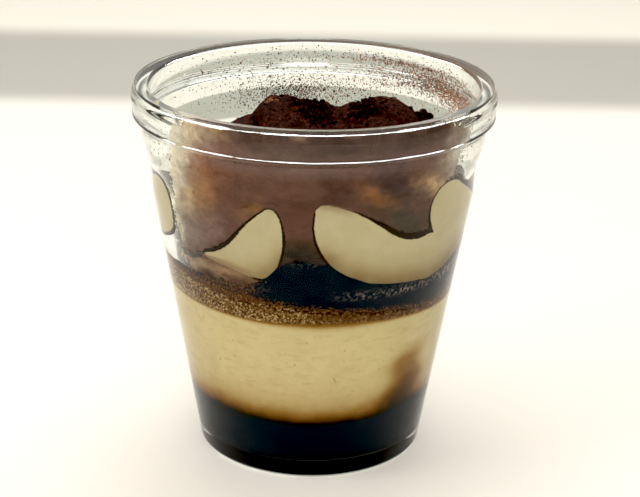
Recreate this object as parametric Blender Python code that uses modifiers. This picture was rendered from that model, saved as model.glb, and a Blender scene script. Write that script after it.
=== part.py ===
"""Tiramisu in its tapered glass cup, standing on the origin, front towards -Y.

Metres, +Z up. Angles around the cup are measured from the front, positive
towards +X. From the bottom up the cup holds a coffee-soaked base, a deep layer
of cream, a thin band of cocoa crumbs, a second soaked layer, and five spooned
dollops of cream that swell until they meet the glass and one another.
"""

import math

import bmesh
import bpy
from mathutils import Vector

# ---------------------------------------------------------------- the cup
CUP_HEIGHT = 0.0926
RIM_RADIUS = 0.0440            # widest part of the rim
RIM_EDGE_RADIUS = 0.0431       # outer edge of the rim's top face
MOUTH_RADIUS = 0.0397          # bore above the ledge
MOUTH_ROUND = 0.0008
RIM_TOP_FALL = 0.0004          # how far the top face falls towards the mouth
RIM_WIDEST_HEIGHT = 0.0891
CREASE_HEIGHT = 0.08365        # where the rim grows out of the wall
CREASE_RADIUS = 0.0414
LEDGE_TOP = 0.0884
LEDGE_BOTTOM = 0.0872
OUTER_FOOT = 0.02754           # outer wall's radius carried down to z = 0
OUTER_TAPER = 0.1743           # growth of that radius for each metre of height
INNER_FOOT = 0.0256
INNER_TAPER = 0.155
FLOOR = 0.0040                 # glass under the food
INNER_CORNER = 0.0040
OUTER_CORNER = 0.0022
STANDING_RING = 0.0215         # inner radius of the ring that the cup stands on
PUNT_DEPTH = 0.0006
PUNT_SLOPE = 0.0012
WAIST_HEIGHT = 0.0730          # shallow hollow round the wall, under the rim
WAIST_HALF = 0.0075
WAIST_DEPTH = 0.00065
WAIST_STEPS = 5
RIM_SHOULDER = 0.8             # how high the rim's widening starts, as a share of its drop

# ---------------------------------------------------------------- the food
GAP = 0.0003                   # left between pieces that touch
SEGMENTS = 48
CREASE_DEGREES = 38            # a sharper turn than this is shaded as an edge
CREAM_CREASE_DEGREES = 60
BASE_TOP = 0.0155
CREAM_TOP = 0.0432
CREAM_TILT = 0.0006            # the cream stands higher on the left
BAND_LEFT = 0.0060             # depth of the cocoa band on the left and right
BAND_RIGHT = 0.0022
BED_TOP = 0.0512
BED_RISE = 0.0040              # the soaked layer rises between two dollops
BED_RISE_AT = math.radians(-8)
BED_RISE_HALF = math.radians(18)
BED_SEARCH_STEPS = 30
LEVEL = 0.05                   # a direction falling less than this never meets the bed
RIPPLE = 0.0003
LAYER_RINGS = (0.0, 0.5, 0.85, 1.0)
BASE_LEVELS = (0.3, 0.12, 0.03)            # extra rings where the base follows the round corner

MEETING = Vector((0.003, 0.002, 0.0))      # where the five dollops meet
DOLLOP_SEGMENTS = 28
DOLLOP_RINGS = 18
EDGE_SOFTNESS = 14.0           # larger is a sharper edge between two sides
HOLLOW_FULLNESS = 0.7          # smaller gives a hollow steeper sides

# Each dollop: the two angles it lies between; its lumps, each as the angle and
# distance of its middle from the meeting point, its height, and its half sizes
# outwards, across and up; and the hollows that a spoon left in it at the glass,
# each as angle from the front, height, radius and depth.
DOLLOPS = {
    "cream_dollop_right": (
        (-5, 88),
        ((43, 0.0170, 0.0638, 0.0250, 0.0290, 0.0172),),
        ((29, 0.0765, 0.0135, 0.0070),)),
    "cream_dollop_front": (
        (-55, -5),
        ((-28, 0.0165, 0.0630, 0.0240, 0.0180, 0.0165),),
        ((-45, 0.0745, 0.0165, 0.0060),)),
    "cream_dollop_left": (
        (-104, -55),
        ((-84, 0.0185, 0.0655, 0.0250, 0.0170, 0.0160),),
        ()),
    "cream_dollop_back_left": (
        (-180, -104),
        ((-140, 0.0160, 0.0640, 0.0240, 0.0200, 0.0155),
         (-126, 0.0130, 0.0720, 0.0105, 0.0090, 0.0140)),
        ((-135, 0.0790, 0.0125, 0.0060),)),
    "cream_dollop_back_right": (
        (88, 180),
        ((128, 0.0160, 0.0640, 0.0250, 0.0230, 0.0155),
         (111, 0.0160, 0.0720, 0.0110, 0.0100, 0.0140)),
        ((150, 0.0780, 0.0120, 0.0060),)),
}


# ---------------------------------------------------------------- materials
def painted(name, red, green, blue, roughness, metallic=0.0):
    """A plain Principled material; colours are given as they look, 0 to 255."""
    material = bpy.data.materials.new(name)
    material.use_nodes = True
    shader = material.node_tree.nodes["Principled BSDF"]
    linear = [((part / 255 + 0.055) / 1.055) ** 2.4 for part in (red, green, blue)]
    shader.inputs["Base Color"].default_value = (*linear, 1.0)
    shader.inputs["Roughness"].default_value = roughness
    shader.inputs["Metallic"].default_value = metallic
    material.diffuse_color = (*linear, 1.0)
    return material


def clear_glass():
    """Pressed clear glass with a faint grey-green cast."""
    material = painted("clear_glass", 228, 234, 226, 0.03)
    shader = material.node_tree.nodes["Principled BSDF"]
    shader.inputs["Transmission Weight"].default_value = 1.0
    shader.inputs["IOR"].default_value = 1.5
    return material


# ---------------------------------------------------------------- outlines
def arc(centre, radius, start, end, steps):
    """Points on an arc in the turning plane, as (distance from axis, height)."""
    points = []
    for step in range(steps + 1):
        angle = math.radians(start + (end - start) * step / steps)
        points.append((centre[0] + radius * math.cos(angle),
                       centre[1] + radius * math.sin(angle)))
    return points


def corner_centre(foot, taper, height, radius):
    """Centre of the circle that rounds the corner of a tapered wall and a floor."""
    middle = height + radius
    return foot + taper * middle - radius * math.sqrt(1 + taper * taper), middle


def inner_radius(height):
    """Inner radius of the cup's wall, with its rounded corner at the floor."""
    wall = INNER_FOOT + INNER_TAPER * height
    across, middle = corner_centre(INNER_FOOT, INNER_TAPER, FLOOR, INNER_CORNER)
    drop = middle - height
    if drop <= 0:
        return wall
    reach = math.sqrt(max(INNER_CORNER ** 2 - drop ** 2, 0.0))
    return min(wall, across + reach)


def outer_radius(height):
    """Outer radius of the plain wall, drawn in a little at the waist."""
    offset = (height - WAIST_HEIGHT) / WAIST_HALF
    waist = 0.0
    if abs(offset) < 1:
        waist = WAIST_DEPTH * (0.5 + 0.5 * math.cos(math.pi * offset))
    return OUTER_FOOT + OUTER_TAPER * height - waist


def cup_outline():
    """Half section: from the floor's middle up inside, over the rim and down outside."""
    inner_lean = math.degrees(math.atan(INNER_TAPER))
    outer_lean = math.degrees(math.atan(OUTER_TAPER))
    inner = corner_centre(INNER_FOOT, INNER_TAPER, FLOOR, INNER_CORNER)
    outer = corner_centre(OUTER_FOOT, OUTER_TAPER, 0.0, OUTER_CORNER)
    mouth = (MOUTH_RADIUS + MOUTH_ROUND, CUP_HEIGHT - RIM_TOP_FALL - MOUTH_ROUND)

    outline = [(0.0, FLOOR)]
    outline += arc(inner, INNER_CORNER, -90, -inner_lean, 4)
    outline.append((INNER_FOOT + INNER_TAPER * LEDGE_BOTTOM, LEDGE_BOTTOM))
    outline.append((MOUTH_RADIUS, LEDGE_TOP))
    outline += arc(mouth, MOUTH_ROUND, 180, 95, 2)
    outline += rim_side()
    for step in range(WAIST_STEPS + 1):
        height = WAIST_HEIGHT + WAIST_HALF * (1 - step * 2 / WAIST_STEPS)
        outline.append((outer_radius(height), height))
    outline += arc(outer, OUTER_CORNER, -outer_lean, -90, 4)
    outline.append((STANDING_RING, 0.0))
    outline.append((STANDING_RING - PUNT_SLOPE, PUNT_DEPTH))
    outline.append((0.0, PUNT_DEPTH))
    return outline


def rim_side():
    """The rim's rounded outer side, from its top edge down to the crease."""
    points = [(RIM_EDGE_RADIUS, CUP_HEIGHT)]
    shoulder = (CUP_HEIGHT - RIM_WIDEST_HEIGHT) * RIM_SHOULDER
    for step in (1, 2):
        angle = math.pi / 2 * (1 - step / 2)
        bulge = (RIM_RADIUS - RIM_EDGE_RADIUS) * math.cos(angle)
        points.append((RIM_EDGE_RADIUS + bulge, RIM_WIDEST_HEIGHT + shoulder * math.sin(angle)))
    tuck = RIM_WIDEST_HEIGHT - CREASE_HEIGHT
    for step in (1, 2, 3):
        angle = math.pi / 2 * step / 3
        inwards = (RIM_RADIUS - CREASE_RADIUS) * (1 - math.cos(angle))
        points.append((RIM_RADIUS - inwards, RIM_WIDEST_HEIGHT - tuck * math.sin(angle)))
    return points


# ---------------------------------------------------------------- building
def new_collection(name):
    collection = bpy.data.collections.new(name)
    bpy.context.scene.collection.children.link(collection)
    return collection


def turned(name, outline, collection):
    """A profile at +X turned once round the axis by a Screw modifier."""
    mesh = bpy.data.meshes.new(name)
    corners = [(across, 0.0, height) for across, height in outline]
    edges = [(index, index + 1) for index in range(len(corners) - 1)]
    mesh.from_pydata(corners, edges, [])
    item = bpy.data.objects.new(name, mesh)
    collection.objects.link(item)
    screw = item.modifiers.new("turn", "SCREW")
    screw.steps = SEGMENTS
    screw.render_steps = SEGMENTS
    screw.use_merge_vertices = True
    screw.merge_threshold = 0.00001
    return item


def settled(item):
    """The same object with its modifiers made part of its mesh."""
    graph = bpy.context.evaluated_depsgraph_get()
    mesh = bpy.data.meshes.new_from_object(item.evaluated_get(graph))
    item.modifiers.clear()
    item.data = mesh
    return item


def finish(item, material, sharp_degrees):
    item.data.materials.clear()
    item.data.materials.append(material)
    item.data.shade_smooth()
    item.data.set_sharp_from_angle(angle=math.radians(sharp_degrees))
    return item


def angle_from_front(x, y):
    return math.atan2(x, -y)


def layer(name, lower, upper, side_levels, material, collection):
    """A layer that fills the cup between two uneven surfaces.

    A unit disc is turned first. Its ring then gives how far out a point lies, and
    its height, from 0 to 1, how far it lies from the lower surface to the upper one.
    """
    outline = [(ring, 1.0) for ring in LAYER_RINGS]
    outline += [(1.0, level) for level in side_levels]
    outline += [(ring, 0.0) for ring in reversed(LAYER_RINGS)]
    item = settled(turned(name, outline, collection))
    for vertex in item.data.vertices:
        ring = math.hypot(vertex.co.x, vertex.co.y)
        angle = angle_from_front(vertex.co.x, vertex.co.y)
        level = vertex.co.z
        height = lower(angle, ring) * (1 - level) + upper(angle, ring) * level
        across = ring * (inner_radius(height) - GAP)
        vertex.co = (across * math.sin(angle), -across * math.cos(angle), height)
    return finish(item, material, CREASE_DEGREES)


# ---------------------------------------------------------------- surfaces between layers
def ripple(angle, ring, waves, shift):
    """A slight unevenness that dies out towards the axis."""
    return RIPPLE * ring * ring * math.sin(waves * angle + shift)


def floor_surface(angle, ring):
    return FLOOR + GAP


def base_surface(angle, ring):
    """Top of the soaked base."""
    return BASE_TOP + ripple(angle, ring, 3, 0.8)


def cream_surface(angle, ring):
    """Top of the deep cream, a little higher on the left."""
    return CREAM_TOP - CREAM_TILT * ring * math.sin(angle) + ripple(angle, ring, 4, 0.3)


def band_surface(angle, ring):
    """Top of the cocoa band, which thins from left to right."""
    share = 0.5 + 0.5 * ring * math.sin(angle)
    depth = BAND_LEFT + (BAND_RIGHT - BAND_LEFT) * share
    return cream_surface(angle, ring) + depth + ripple(angle, ring, 7, 1.1)


def bed_surface(angle, ring):
    """Top of the second soaked layer, which rises where two dollops stand apart."""
    offset = (angle - BED_RISE_AT) / BED_RISE_HALF
    rise = BED_RISE * ring ** 3 * math.exp(-offset * offset)
    return BED_TOP + rise + ripple(angle, ring, 5, 2.0)


def above(surface):
    """The same surface raised by the gap that touching pieces keep."""
    def raised(angle, ring):
        return surface(angle, ring) + GAP
    return raised


# ---------------------------------------------------------------- dollops
def outwards(degrees):
    """Level direction at an angle from the front."""
    angle = math.radians(degrees)
    return Vector((math.sin(angle), -math.cos(angle), 0.0))


def way_through_lump(start, direction, lump):
    """Distance to the far side of a rounded lump, or 0 if the way misses it."""
    degrees, distance, height, long, wide, tall = lump
    out = outwards(degrees)
    across = Vector((-out.y, out.x, 0.0))
    offset = start - lump_middle(lump)
    begin = Vector((offset.dot(out) / long, offset.dot(across) / wide, offset.z / tall))
    step = Vector((direction.dot(out) / long, direction.dot(across) / wide, direction.z / tall))
    a, b, c = step.length_squared, begin.dot(step), begin.length_squared - 1.0
    if b * b < a * c:
        return 0.0
    return max((-b + math.sqrt(b * b - a * c)) / a, 0.0)


def lump_middle(lump):
    """A lump's middle, from its angle and distance round the meeting point."""
    middle = MEETING + outwards(lump[0]) * lump[1]
    middle.z = lump[2]
    return middle


def way_to_glass(middle, direction):
    """Distance to the inside of the tapered wall."""
    flat = (1 - math.cos(math.pi / SEGMENTS)) * MOUTH_RADIUS    # the wall's flats stand in by this
    wall = INNER_FOOT + INNER_TAPER * middle.z - GAP - flat
    climb = INNER_TAPER * direction.z
    a = direction.x ** 2 + direction.y ** 2 - climb ** 2
    b = middle.x * direction.x + middle.y * direction.y - wall * climb
    c = middle.x ** 2 + middle.y ** 2 - wall ** 2
    if a < 1e-6:
        return math.inf
    return (-b + math.sqrt(b * b - a * c)) / a


def way_to_neighbour(middle, direction, degrees, side):
    """Distance to the upright plane shared with the next dollop."""
    along = outwards(degrees)
    normal = Vector((-along.y, along.x, 0.0)) * side
    room = (MEETING - middle).dot(normal) - GAP / 2
    speed = direction.dot(normal)
    return room / speed if speed > 1e-6 else math.inf


def way_to_bed(middle, direction):
    """Distance down to the soaked layer."""
    if direction.z > -LEVEL:
        return math.inf
    near, far = 0.0, (middle.z - BED_TOP + BED_RISE) / -direction.z
    for _ in range(BED_SEARCH_STEPS):
        half = (near + far) / 2
        point = middle + direction * half
        height = point.z - GAP
        ring = min(math.hypot(point.x, point.y) / inner_radius(max(height, BED_TOP)), 1.0)
        if height > bed_surface(angle_from_front(point.x, point.y), ring):
            near = half
        else:
            far = half
    return near


def way_to_hollow(middle, direction, hollow):
    """Distance to the glass, less the hollow that a spoon left there."""
    degrees, height, radius, depth = hollow
    centre = outwards(degrees) * inner_radius(height)
    centre.z = height
    glass = way_to_glass(middle, direction)
    if glass == math.inf:
        return math.inf
    share = (middle + direction * glass - centre).length / radius
    if share >= 1:
        return math.inf
    return glass - depth * (1 - share * share) ** HOLLOW_FULLNESS


def soft_least(ways):
    """The least of the distances, with the corners between them rounded."""
    least = min(ways)
    total = sum((least / way) ** EDGE_SOFTNESS for way in ways)
    return least / total ** (1 / EDGE_SOFTNESS)


def dollop(name, limits, lumps, hollows, material, collection):
    """Cream that swells from its middle until it meets glass, layer or neighbour."""
    middle = lump_middle(lumps[0])
    mesh = bpy.data.meshes.new(name)
    shape = bmesh.new()
    bmesh.ops.create_uvsphere(shape, u_segments=DOLLOP_SEGMENTS, v_segments=DOLLOP_RINGS, radius=1.0)
    for vertex in shape.verts:
        direction = vertex.co.normalized()
        ways = [max(way_through_lump(middle, direction, lump) for lump in lumps),
                way_to_neighbour(middle, direction, limits[0], -1),
                way_to_neighbour(middle, direction, limits[1], 1),
                way_to_bed(middle, direction)]
        ways += [way_to_hollow(middle, direction, hollow) for hollow in hollows]
        vertex.co = middle + direction * min(soft_least(ways), way_to_glass(middle, direction))
    shape.to_mesh(mesh)
    shape.free()
    item = bpy.data.objects.new(name, mesh)
    collection.objects.link(item)
    return finish(item, material, CREAM_CREASE_DEGREES)


# ---------------------------------------------------------------- the whole
def build():
    for item in list(bpy.data.objects):
        bpy.data.objects.remove(item, do_unlink=True)
    collection = new_collection("tiramisu_in_glass_cup")

    coffee = painted("coffee_soaked_biscuit", 12, 11, 16, 0.35)
    cream = painted("mascarpone_cream", 206, 188, 138, 0.40)
    crumbs = painted("cocoa_crumbs", 112, 72, 30, 0.80)
    cocoa = painted("cocoa_dusted_cream", 66, 38, 28, 0.90)

    cup = settled(turned("glass_cup", cup_outline(), collection))
    finish(cup, clear_glass(), CREASE_DEGREES)
    layer("coffee_base", floor_surface, base_surface, BASE_LEVELS, coffee, collection)
    layer("cream_lower", above(base_surface), cream_surface, (), cream, collection)
    layer("cocoa_band", above(cream_surface), band_surface, (), crumbs, collection)
    layer("coffee_upper", above(band_surface), bed_surface, (), coffee, collection)
    for name, (limits, lumps, hollows) in DOLLOPS.items():
        dollop(name, limits, lumps, hollows, cocoa, collection)


build()
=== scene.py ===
# %% [markdown]
# # Tiramisu in a tapered glass cup
# The cup was filled layer by layer: a coffee-soaked base, deep cream, a band of cocoa crumbs, more
# soaked biscuit, and five spoonfuls of cream under a thick dusting of cocoa. This lesson models the
# same things in the same order, around a fixed frame that says where every piece belongs.

# %% The fixed frame and the tools
import math

import bpy
import numpy as np
from mathutils import Matrix, Vector, noise
from mathutils.bvhtree import BVHTree


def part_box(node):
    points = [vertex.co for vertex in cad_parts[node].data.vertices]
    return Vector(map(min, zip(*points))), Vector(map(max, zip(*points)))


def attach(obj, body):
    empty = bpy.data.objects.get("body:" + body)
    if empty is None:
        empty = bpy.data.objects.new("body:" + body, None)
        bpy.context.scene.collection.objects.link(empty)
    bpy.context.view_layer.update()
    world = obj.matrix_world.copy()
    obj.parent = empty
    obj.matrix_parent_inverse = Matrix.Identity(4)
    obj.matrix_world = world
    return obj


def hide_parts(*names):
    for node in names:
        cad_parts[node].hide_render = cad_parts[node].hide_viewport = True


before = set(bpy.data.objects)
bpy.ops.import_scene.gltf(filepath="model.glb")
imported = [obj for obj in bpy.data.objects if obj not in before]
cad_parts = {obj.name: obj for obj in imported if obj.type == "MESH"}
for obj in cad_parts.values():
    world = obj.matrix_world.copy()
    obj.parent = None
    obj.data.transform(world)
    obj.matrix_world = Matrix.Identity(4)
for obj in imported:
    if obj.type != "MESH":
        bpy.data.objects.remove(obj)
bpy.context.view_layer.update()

print("pieces in the frame:", ", ".join(sorted(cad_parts)))

# %% [markdown]
# ## Sizes
# A turned cup is fully told by one half section, so its sizes come first. Angles round the cup are
# measured from the front, positive to the right, and MM turns millimetres into Blender's metres.
# The frame gives the outer size; the other numbers are the cup's own lines, from foot to rim.

# %% The cup's sizes
MM = 0.001
CUP_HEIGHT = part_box("glass_cup")[1].z
RIM_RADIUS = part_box("glass_cup")[1].x
RIM_EDGE_RADIUS = 43.1 * MM
MOUTH_RADIUS = 39.7 * MM
MOUTH_ROUND = 0.8 * MM
RIM_TOP_FALL = 0.4 * MM
RIM_WIDEST_HEIGHT = 89.1 * MM
CREASE_HEIGHT = 83.65 * MM
CREASE_RADIUS = 41.4 * MM
LEDGE_TOP = 88.4 * MM
LEDGE_BOTTOM = 87.2 * MM
OUTER_FOOT, OUTER_TAPER = 27.54 * MM, 0.1743
INNER_FOOT, INNER_TAPER = 25.6 * MM, 0.155
FLOOR = 4.0 * MM
INNER_CORNER = 4.0 * MM
OUTER_CORNER = 2.2 * MM
STANDING_RING = 21.5 * MM
PUNT_DEPTH = 0.6 * MM
PUNT_SLOPE = 1.2 * MM
WALL_START = 12.0 * MM
OUTER_WALL_START = 8.0 * MM
WAIST_HEIGHT, WAIST_HALF, WAIST_DEPTH = 73.0 * MM, 7.5 * MM, 0.65 * MM
RIM_SHOULDER = 0.8
RIM_BEAD, RIM_BEAD_HEIGHT, RIM_BEAD_HALF = 0.42 * MM, 85.3 * MM, 0.28 * MM
print(f"cup {CUP_HEIGHT / MM:.1f} mm tall, {2 * RIM_RADIUS / MM:.1f} mm wide")

# %% [markdown]
# ## Working by hand, in code
# Every operator acts on whatever is selected, so each step starts from an empty selection. An
# outline is drawn the way it is done with the mouse: one corner is kept, then extruded from point
# to point. Spinning the outline round the upright axis gives the turned shape, and merging doubles
# closes its seam and its poles.

# %% Outlines and spinning
def nothing_selected():
    if bpy.context.object and bpy.context.object.mode != "OBJECT":
        bpy.ops.object.mode_set(mode="OBJECT")
    bpy.ops.object.select_all(action="DESELECT")


def edit_all():
    bpy.ops.object.mode_set(mode="EDIT")
    bpy.ops.mesh.select_all(action="SELECT")


def stop_editing():
    bpy.ops.object.mode_set(mode="OBJECT")


def just_added(name):
    item = bpy.context.object
    item.name = item.data.name = name
    return item


def drawn_outline(name, outline):
    """One corner, extruded from point to point in the plane that faces the front."""
    nothing_selected()
    bpy.ops.mesh.primitive_plane_add(size=MM, location=(0, 0, 0))
    item = just_added(name)
    edit_all()
    bpy.ops.mesh.merge(type="CENTER")
    across, height = outline[0]
    bpy.ops.transform.translate(value=(across, 0, height))
    for (from_across, from_height), (across, height) in zip(outline, outline[1:]):
        step = (across - from_across, 0, height - from_height)
        bpy.ops.mesh.extrude_vertices_move(TRANSFORM_OT_translate={"value": step})
    return item


def spun(name, outline, steps):
    """The outline turned once round the upright axis, closed, with its faces outwards."""
    item = drawn_outline(name, outline)
    bpy.ops.mesh.select_all(action="SELECT")
    bpy.ops.mesh.spin(steps=steps, angle=2 * math.pi, center=(0, 0, 0), axis=(0, 0, 1))
    bpy.ops.mesh.select_all(action="SELECT")
    bpy.ops.mesh.remove_doubles(threshold=0.01 * MM)
    bpy.ops.mesh.normals_make_consistent(inside=False)
    stop_editing()
    return item

# %% [markdown]
# A mesh's corners can also be read and moved all at once, as rows of numbers. That is how the
# uneven shapes are made: an operator gives the mesh, and a formula moves its corners. A number or
# a colour stored at each corner lets a material follow the shape.

# %% Corners, stored numbers and smooth shading
def points_of(item):
    """A mesh's corners as rows of x, y, z."""
    points = np.empty(len(item.data.vertices) * 3)
    item.data.vertices.foreach_get("co", points)
    return points.reshape(-1, 3)


def move_points(item, points):
    item.data.vertices.foreach_set("co", np.asarray(points, dtype=np.float32).ravel())
    item.data.update()


def keep_number(item, name, values):
    """Stores one number for each corner, for a material to read."""
    layer = item.data.attributes.new(name, "FLOAT", "POINT")
    layer.data.foreach_set("value", np.asarray(values, dtype=np.float32).ravel())


def keep_colour(item, name, colours):
    """Stores one colour for each corner, for a material to read."""
    layer = item.data.attributes.new(name, "FLOAT_COLOR", "POINT")
    rows = np.ones((len(colours), 4), dtype=np.float32)
    rows[:, :3] = colours
    layer.data.foreach_set("color", rows.ravel())


def smooth(item, degrees=None):
    nothing_selected()
    item.select_set(True)
    bpy.context.view_layer.objects.active = item
    if degrees is None:
        bpy.ops.object.shade_smooth()
    else:
        bpy.ops.object.shade_smooth_by_angle(angle=math.radians(degrees))


def turn_of(points):
    """Each point's angle round the cup, from the front."""
    return np.arctan2(points[:, 0], -points[:, 1])


def round_the_cup(turn, across, height):
    """The points at these angles, distances from the axis and heights."""
    return np.stack([across * np.sin(turn), -across * np.cos(turn), height], 1)


def report(item):
    faces = sum(len(face.vertices) - 2 for face in item.data.polygons)
    low, high = points_of(item).min(0) / MM, points_of(item).max(0) / MM
    print(f"{item.name}: {faces} triangles, {np.round(low, 1)} to {np.round(high, 1)} mm")

# %% [markdown]
# ## Soft steps and drawn lines
# Uneven food is mostly told by three things: a share that grows from 0 to 1 over a stretch, a bell
# that is strongest in its middle, and a line drawn through a few heights.

# %% Shares, bells and lines
def share_of(value, start, length):
    """0 up to the start, 1 a length further on; a negative length runs the other way."""
    return np.clip((value - start) / length, 0, 1)


def bell(value, middle, half):
    return np.exp(-((value - middle) / half) ** 2)


def drawn_line(value, line):
    """The line's height at each value; the line is pairs of place and height."""
    return np.interp(value, [at for at, _ in line], [up for _, up in line])


print("half way up a share:", float(share_of(1.5, 1, 1)), "and a bell:", round(float(bell(1.5, 1, 1)), 2))

# %% [markdown]
# ## Small helpers for materials
# Colours are written as they look, 0 to 255, and turned into the linear values that a shader
# mixes. A node is added together with its settings and its inputs, so that a recipe reads from
# top to bottom.

# %% Material helpers
def seen(red, green, blue):
    """A colour as it looks, as linear light."""
    return tuple(((part / 255 + 0.055) / 1.055) ** 2.4 if part > 10 else part / 255 / 12.92
                 for part in (red, green, blue))


def new_material(name, roughness, shine=0.0):
    """A material, its node tree and its shader; shine is how strongly the surface mirrors."""
    material = bpy.data.materials.new(name)
    material.use_nodes = True
    shader = material.node_tree.nodes["Principled BSDF"]
    shader.inputs["Roughness"].default_value = roughness
    shader.inputs["Specular IOR Level"].default_value = shine
    return material, material.node_tree, shader


def add(tree, kind, inputs=None, **settings):
    """A node with its settings; an input is a value, or another node's socket to link."""
    made = tree.nodes.new("ShaderNode" + kind)
    for name, value in settings.items():
        setattr(made, name, value)
    for name, value in (inputs or {}).items():
        if isinstance(value, bpy.types.NodeSocket):
            tree.links.new(value, made.inputs[name])
        else:
            made.inputs[name].default_value = value
    return made


def number(tree, name):
    return add(tree, "Attribute", attribute_name=name).outputs["Fac"]


def place(tree):
    return add(tree, "TexCoord").outputs["Object"]


def cloud(tree, size, detail=3.0, roughness=0.55, distortion=0.0, squeeze=None):
    """Soft noise whose lumps are about this many metres across, from 0 to 1."""
    where = place(tree)
    if squeeze:
        where = add(tree, "VectorMath", {0: where, 1: squeeze}, operation="MULTIPLY").outputs[0]
    return add(tree, "TexNoise", {"Vector": where, "Scale": 1 / size, "Detail": detail,
                                  "Roughness": roughness, "Distortion": distortion}).outputs["Fac"]


def cells(tree, size):
    return add(tree, "TexVoronoi", {"Vector": place(tree), "Scale": 1 / size})


def maths(tree, operation, first, second=0.0):
    return add(tree, "Math", {0: first, 1: second}, operation=operation).outputs[0]

# %% [markdown]
# Most finishes are patches: noise of one size, of which only the strongest part counts. The same
# few helpers make mottled cream, floating flecks and frayed edges.

# %% Patches, frayed edges and blends
def stretch(tree, value, low, high, to_low=0.0, to_high=1.0, kind="SMOOTHSTEP"):
    """The value's part between low and high, spread over a new range."""
    return add(tree, "MapRange", {"Value": value, "From Min": low, "From Max": high,
                                  "To Min": to_low, "To Max": to_high},
               interpolation_type=kind).outputs["Result"]


def patches(tree, size, low, high, to_low=0.0, to_high=1.0, kind="SMOOTHSTEP", **look):
    """Noise as patches: only its part between low and high counts."""
    return stretch(tree, cloud(tree, size, **look), low, high, to_low, to_high, kind)


def frayed(tree, name, size, low, high, amount, kind="SMOOTHSTEP", **look):
    """A stored number with noise added, so that what it marks has frayed edges."""
    noisy = patches(tree, size, low, high, -amount, amount, kind, **look)
    return maths(tree, "ADD", number(tree, name), noisy)


def weaker(tree, share, strength):
    return maths(tree, "MULTIPLY", share, strength)


def blend(tree, share, first, second):
    """Two colours mixed; each is a colour as it looks or a socket."""
    mix = add(tree, "Mix", data_type="RGBA", blend_type="MIX")
    for slot, value in ((0, share), (6, first), (7, second)):
        if isinstance(value, bpy.types.NodeSocket):
            tree.links.new(value, mix.inputs[slot])
        elif slot == 0:
            mix.inputs[slot].default_value = value
        else:
            mix.inputs[slot].default_value = (*seen(*value), 1.0)
    return mix.outputs[2]


def ramp(tree, value, steps):
    made = add(tree, "ValToRGB", {0: value})
    stops = made.color_ramp.elements
    while len(stops) < len(steps):
        stops.new(0.5)
    for stop, (at, colour) in zip(stops, steps):
        stop.position = at
        stop.color = (*seen(*colour), 1.0)
    return made.outputs["Color"]


def colour_of(tree, name):
    return add(tree, "Attribute", attribute_name=name).outputs["Color"]


def paint(tree, shader, colour, height=None, depth=0.0):
    """The finished colour goes to the shader, with fine relief of this depth from the height."""
    tree.links.new(colour, shader.inputs["Base Color"])
    if height:
        bump = add(tree, "Bump", {"Height": height, "Distance": depth, "Strength": 1.0})
        tree.links.new(bump.outputs["Normal"], shader.inputs["Normal"])

# %% Dress a finished piece
def dress(item, material, slot, *nodes):
    """Gives a finished piece its material, its body and the nodes it stands for; its slot is not used."""
    item.data.materials.clear()
    item.data.materials.append(material)
    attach(item, "root")
    if nodes:
        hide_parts(*nodes)
    report(item)
    return item

# %% [markdown]
# ## The glass cup
# Pressed glass: a thick tapered wall, a rolled rim with a crease under it, a ledge inside the
# mouth and a shallow hollow under the foot. It could be modelled from a cylinder with insets, but
# every line on it is a full circle, so a half section and one spin give it all. The wall gets many
# rows, because real pressed glass is never quite even: each row swells by a few hundredths of a
# millimetre, and that is what makes its edges shimmer.

# %% The cup's half section
def arc(centre, radius, start, end, steps):
    turns = [math.radians(start + (end - start) * step / steps) for step in range(steps + 1)]
    return [(centre[0] + radius * math.cos(turn), centre[1] + radius * math.sin(turn))
            for turn in turns]


def corner_centre(foot, taper, height, radius):
    middle = height + radius
    return foot + taper * middle - radius * math.sqrt(1 + taper * taper), middle


def inner_radius(height):
    """Inner radius at one height or at many: rounded corner, taper, ledge and mouth."""
    height = np.asarray(height, dtype=float)
    across, middle = corner_centre(INNER_FOOT, INNER_TAPER, FLOOR, INNER_CORNER)
    drop = np.clip(middle - height, 0, INNER_CORNER)
    wall = INNER_FOOT + INNER_TAPER * height
    corner = across + np.sqrt(INNER_CORNER ** 2 - drop ** 2)
    wall = np.where(height < middle, np.minimum(wall, corner), wall)
    ledge = INNER_FOOT + INNER_TAPER * LEDGE_BOTTOM
    share = share_of(height, LEDGE_BOTTOM, LEDGE_TOP - LEDGE_BOTTOM)
    return np.where(height > LEDGE_BOTTOM, ledge + (MOUTH_RADIUS - ledge) * share, wall)


def outer_radius(height):
    offset = (height - WAIST_HEIGHT) / WAIST_HALF
    waist = WAIST_DEPTH * (0.5 + 0.5 * math.cos(math.pi * offset)) if abs(offset) < 1 else 0.0
    return OUTER_FOOT + OUTER_TAPER * height - waist

# %% The rim's side and the whole outline
def rim_side(steps):
    """The rolled rim's outer side, from its top edge down to the crease."""
    points = [(RIM_EDGE_RADIUS, CUP_HEIGHT)]
    shoulder = (CUP_HEIGHT - RIM_WIDEST_HEIGHT) * RIM_SHOULDER
    for step in range(1, steps + 1):
        turn = math.pi / 2 * (1 - step / steps)
        bulge = (RIM_RADIUS - RIM_EDGE_RADIUS) * math.cos(turn)
        points.append((RIM_EDGE_RADIUS + bulge, RIM_WIDEST_HEIGHT + shoulder * math.sin(turn)))
    tuck = RIM_WIDEST_HEIGHT - CREASE_HEIGHT
    for height in np.linspace(RIM_WIDEST_HEIGHT, CREASE_HEIGHT, 6 * steps)[1:]:
        share = (RIM_WIDEST_HEIGHT - height) / tuck
        inwards = (RIM_RADIUS - CREASE_RADIUS) * (1 - math.sqrt(1 - share * share))
        bead = RIM_BEAD * math.exp(-((height - RIM_BEAD_HEIGHT) / RIM_BEAD_HALF) ** 2)
        points.append((RIM_RADIUS - inwards + bead, height))
    return points


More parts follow.
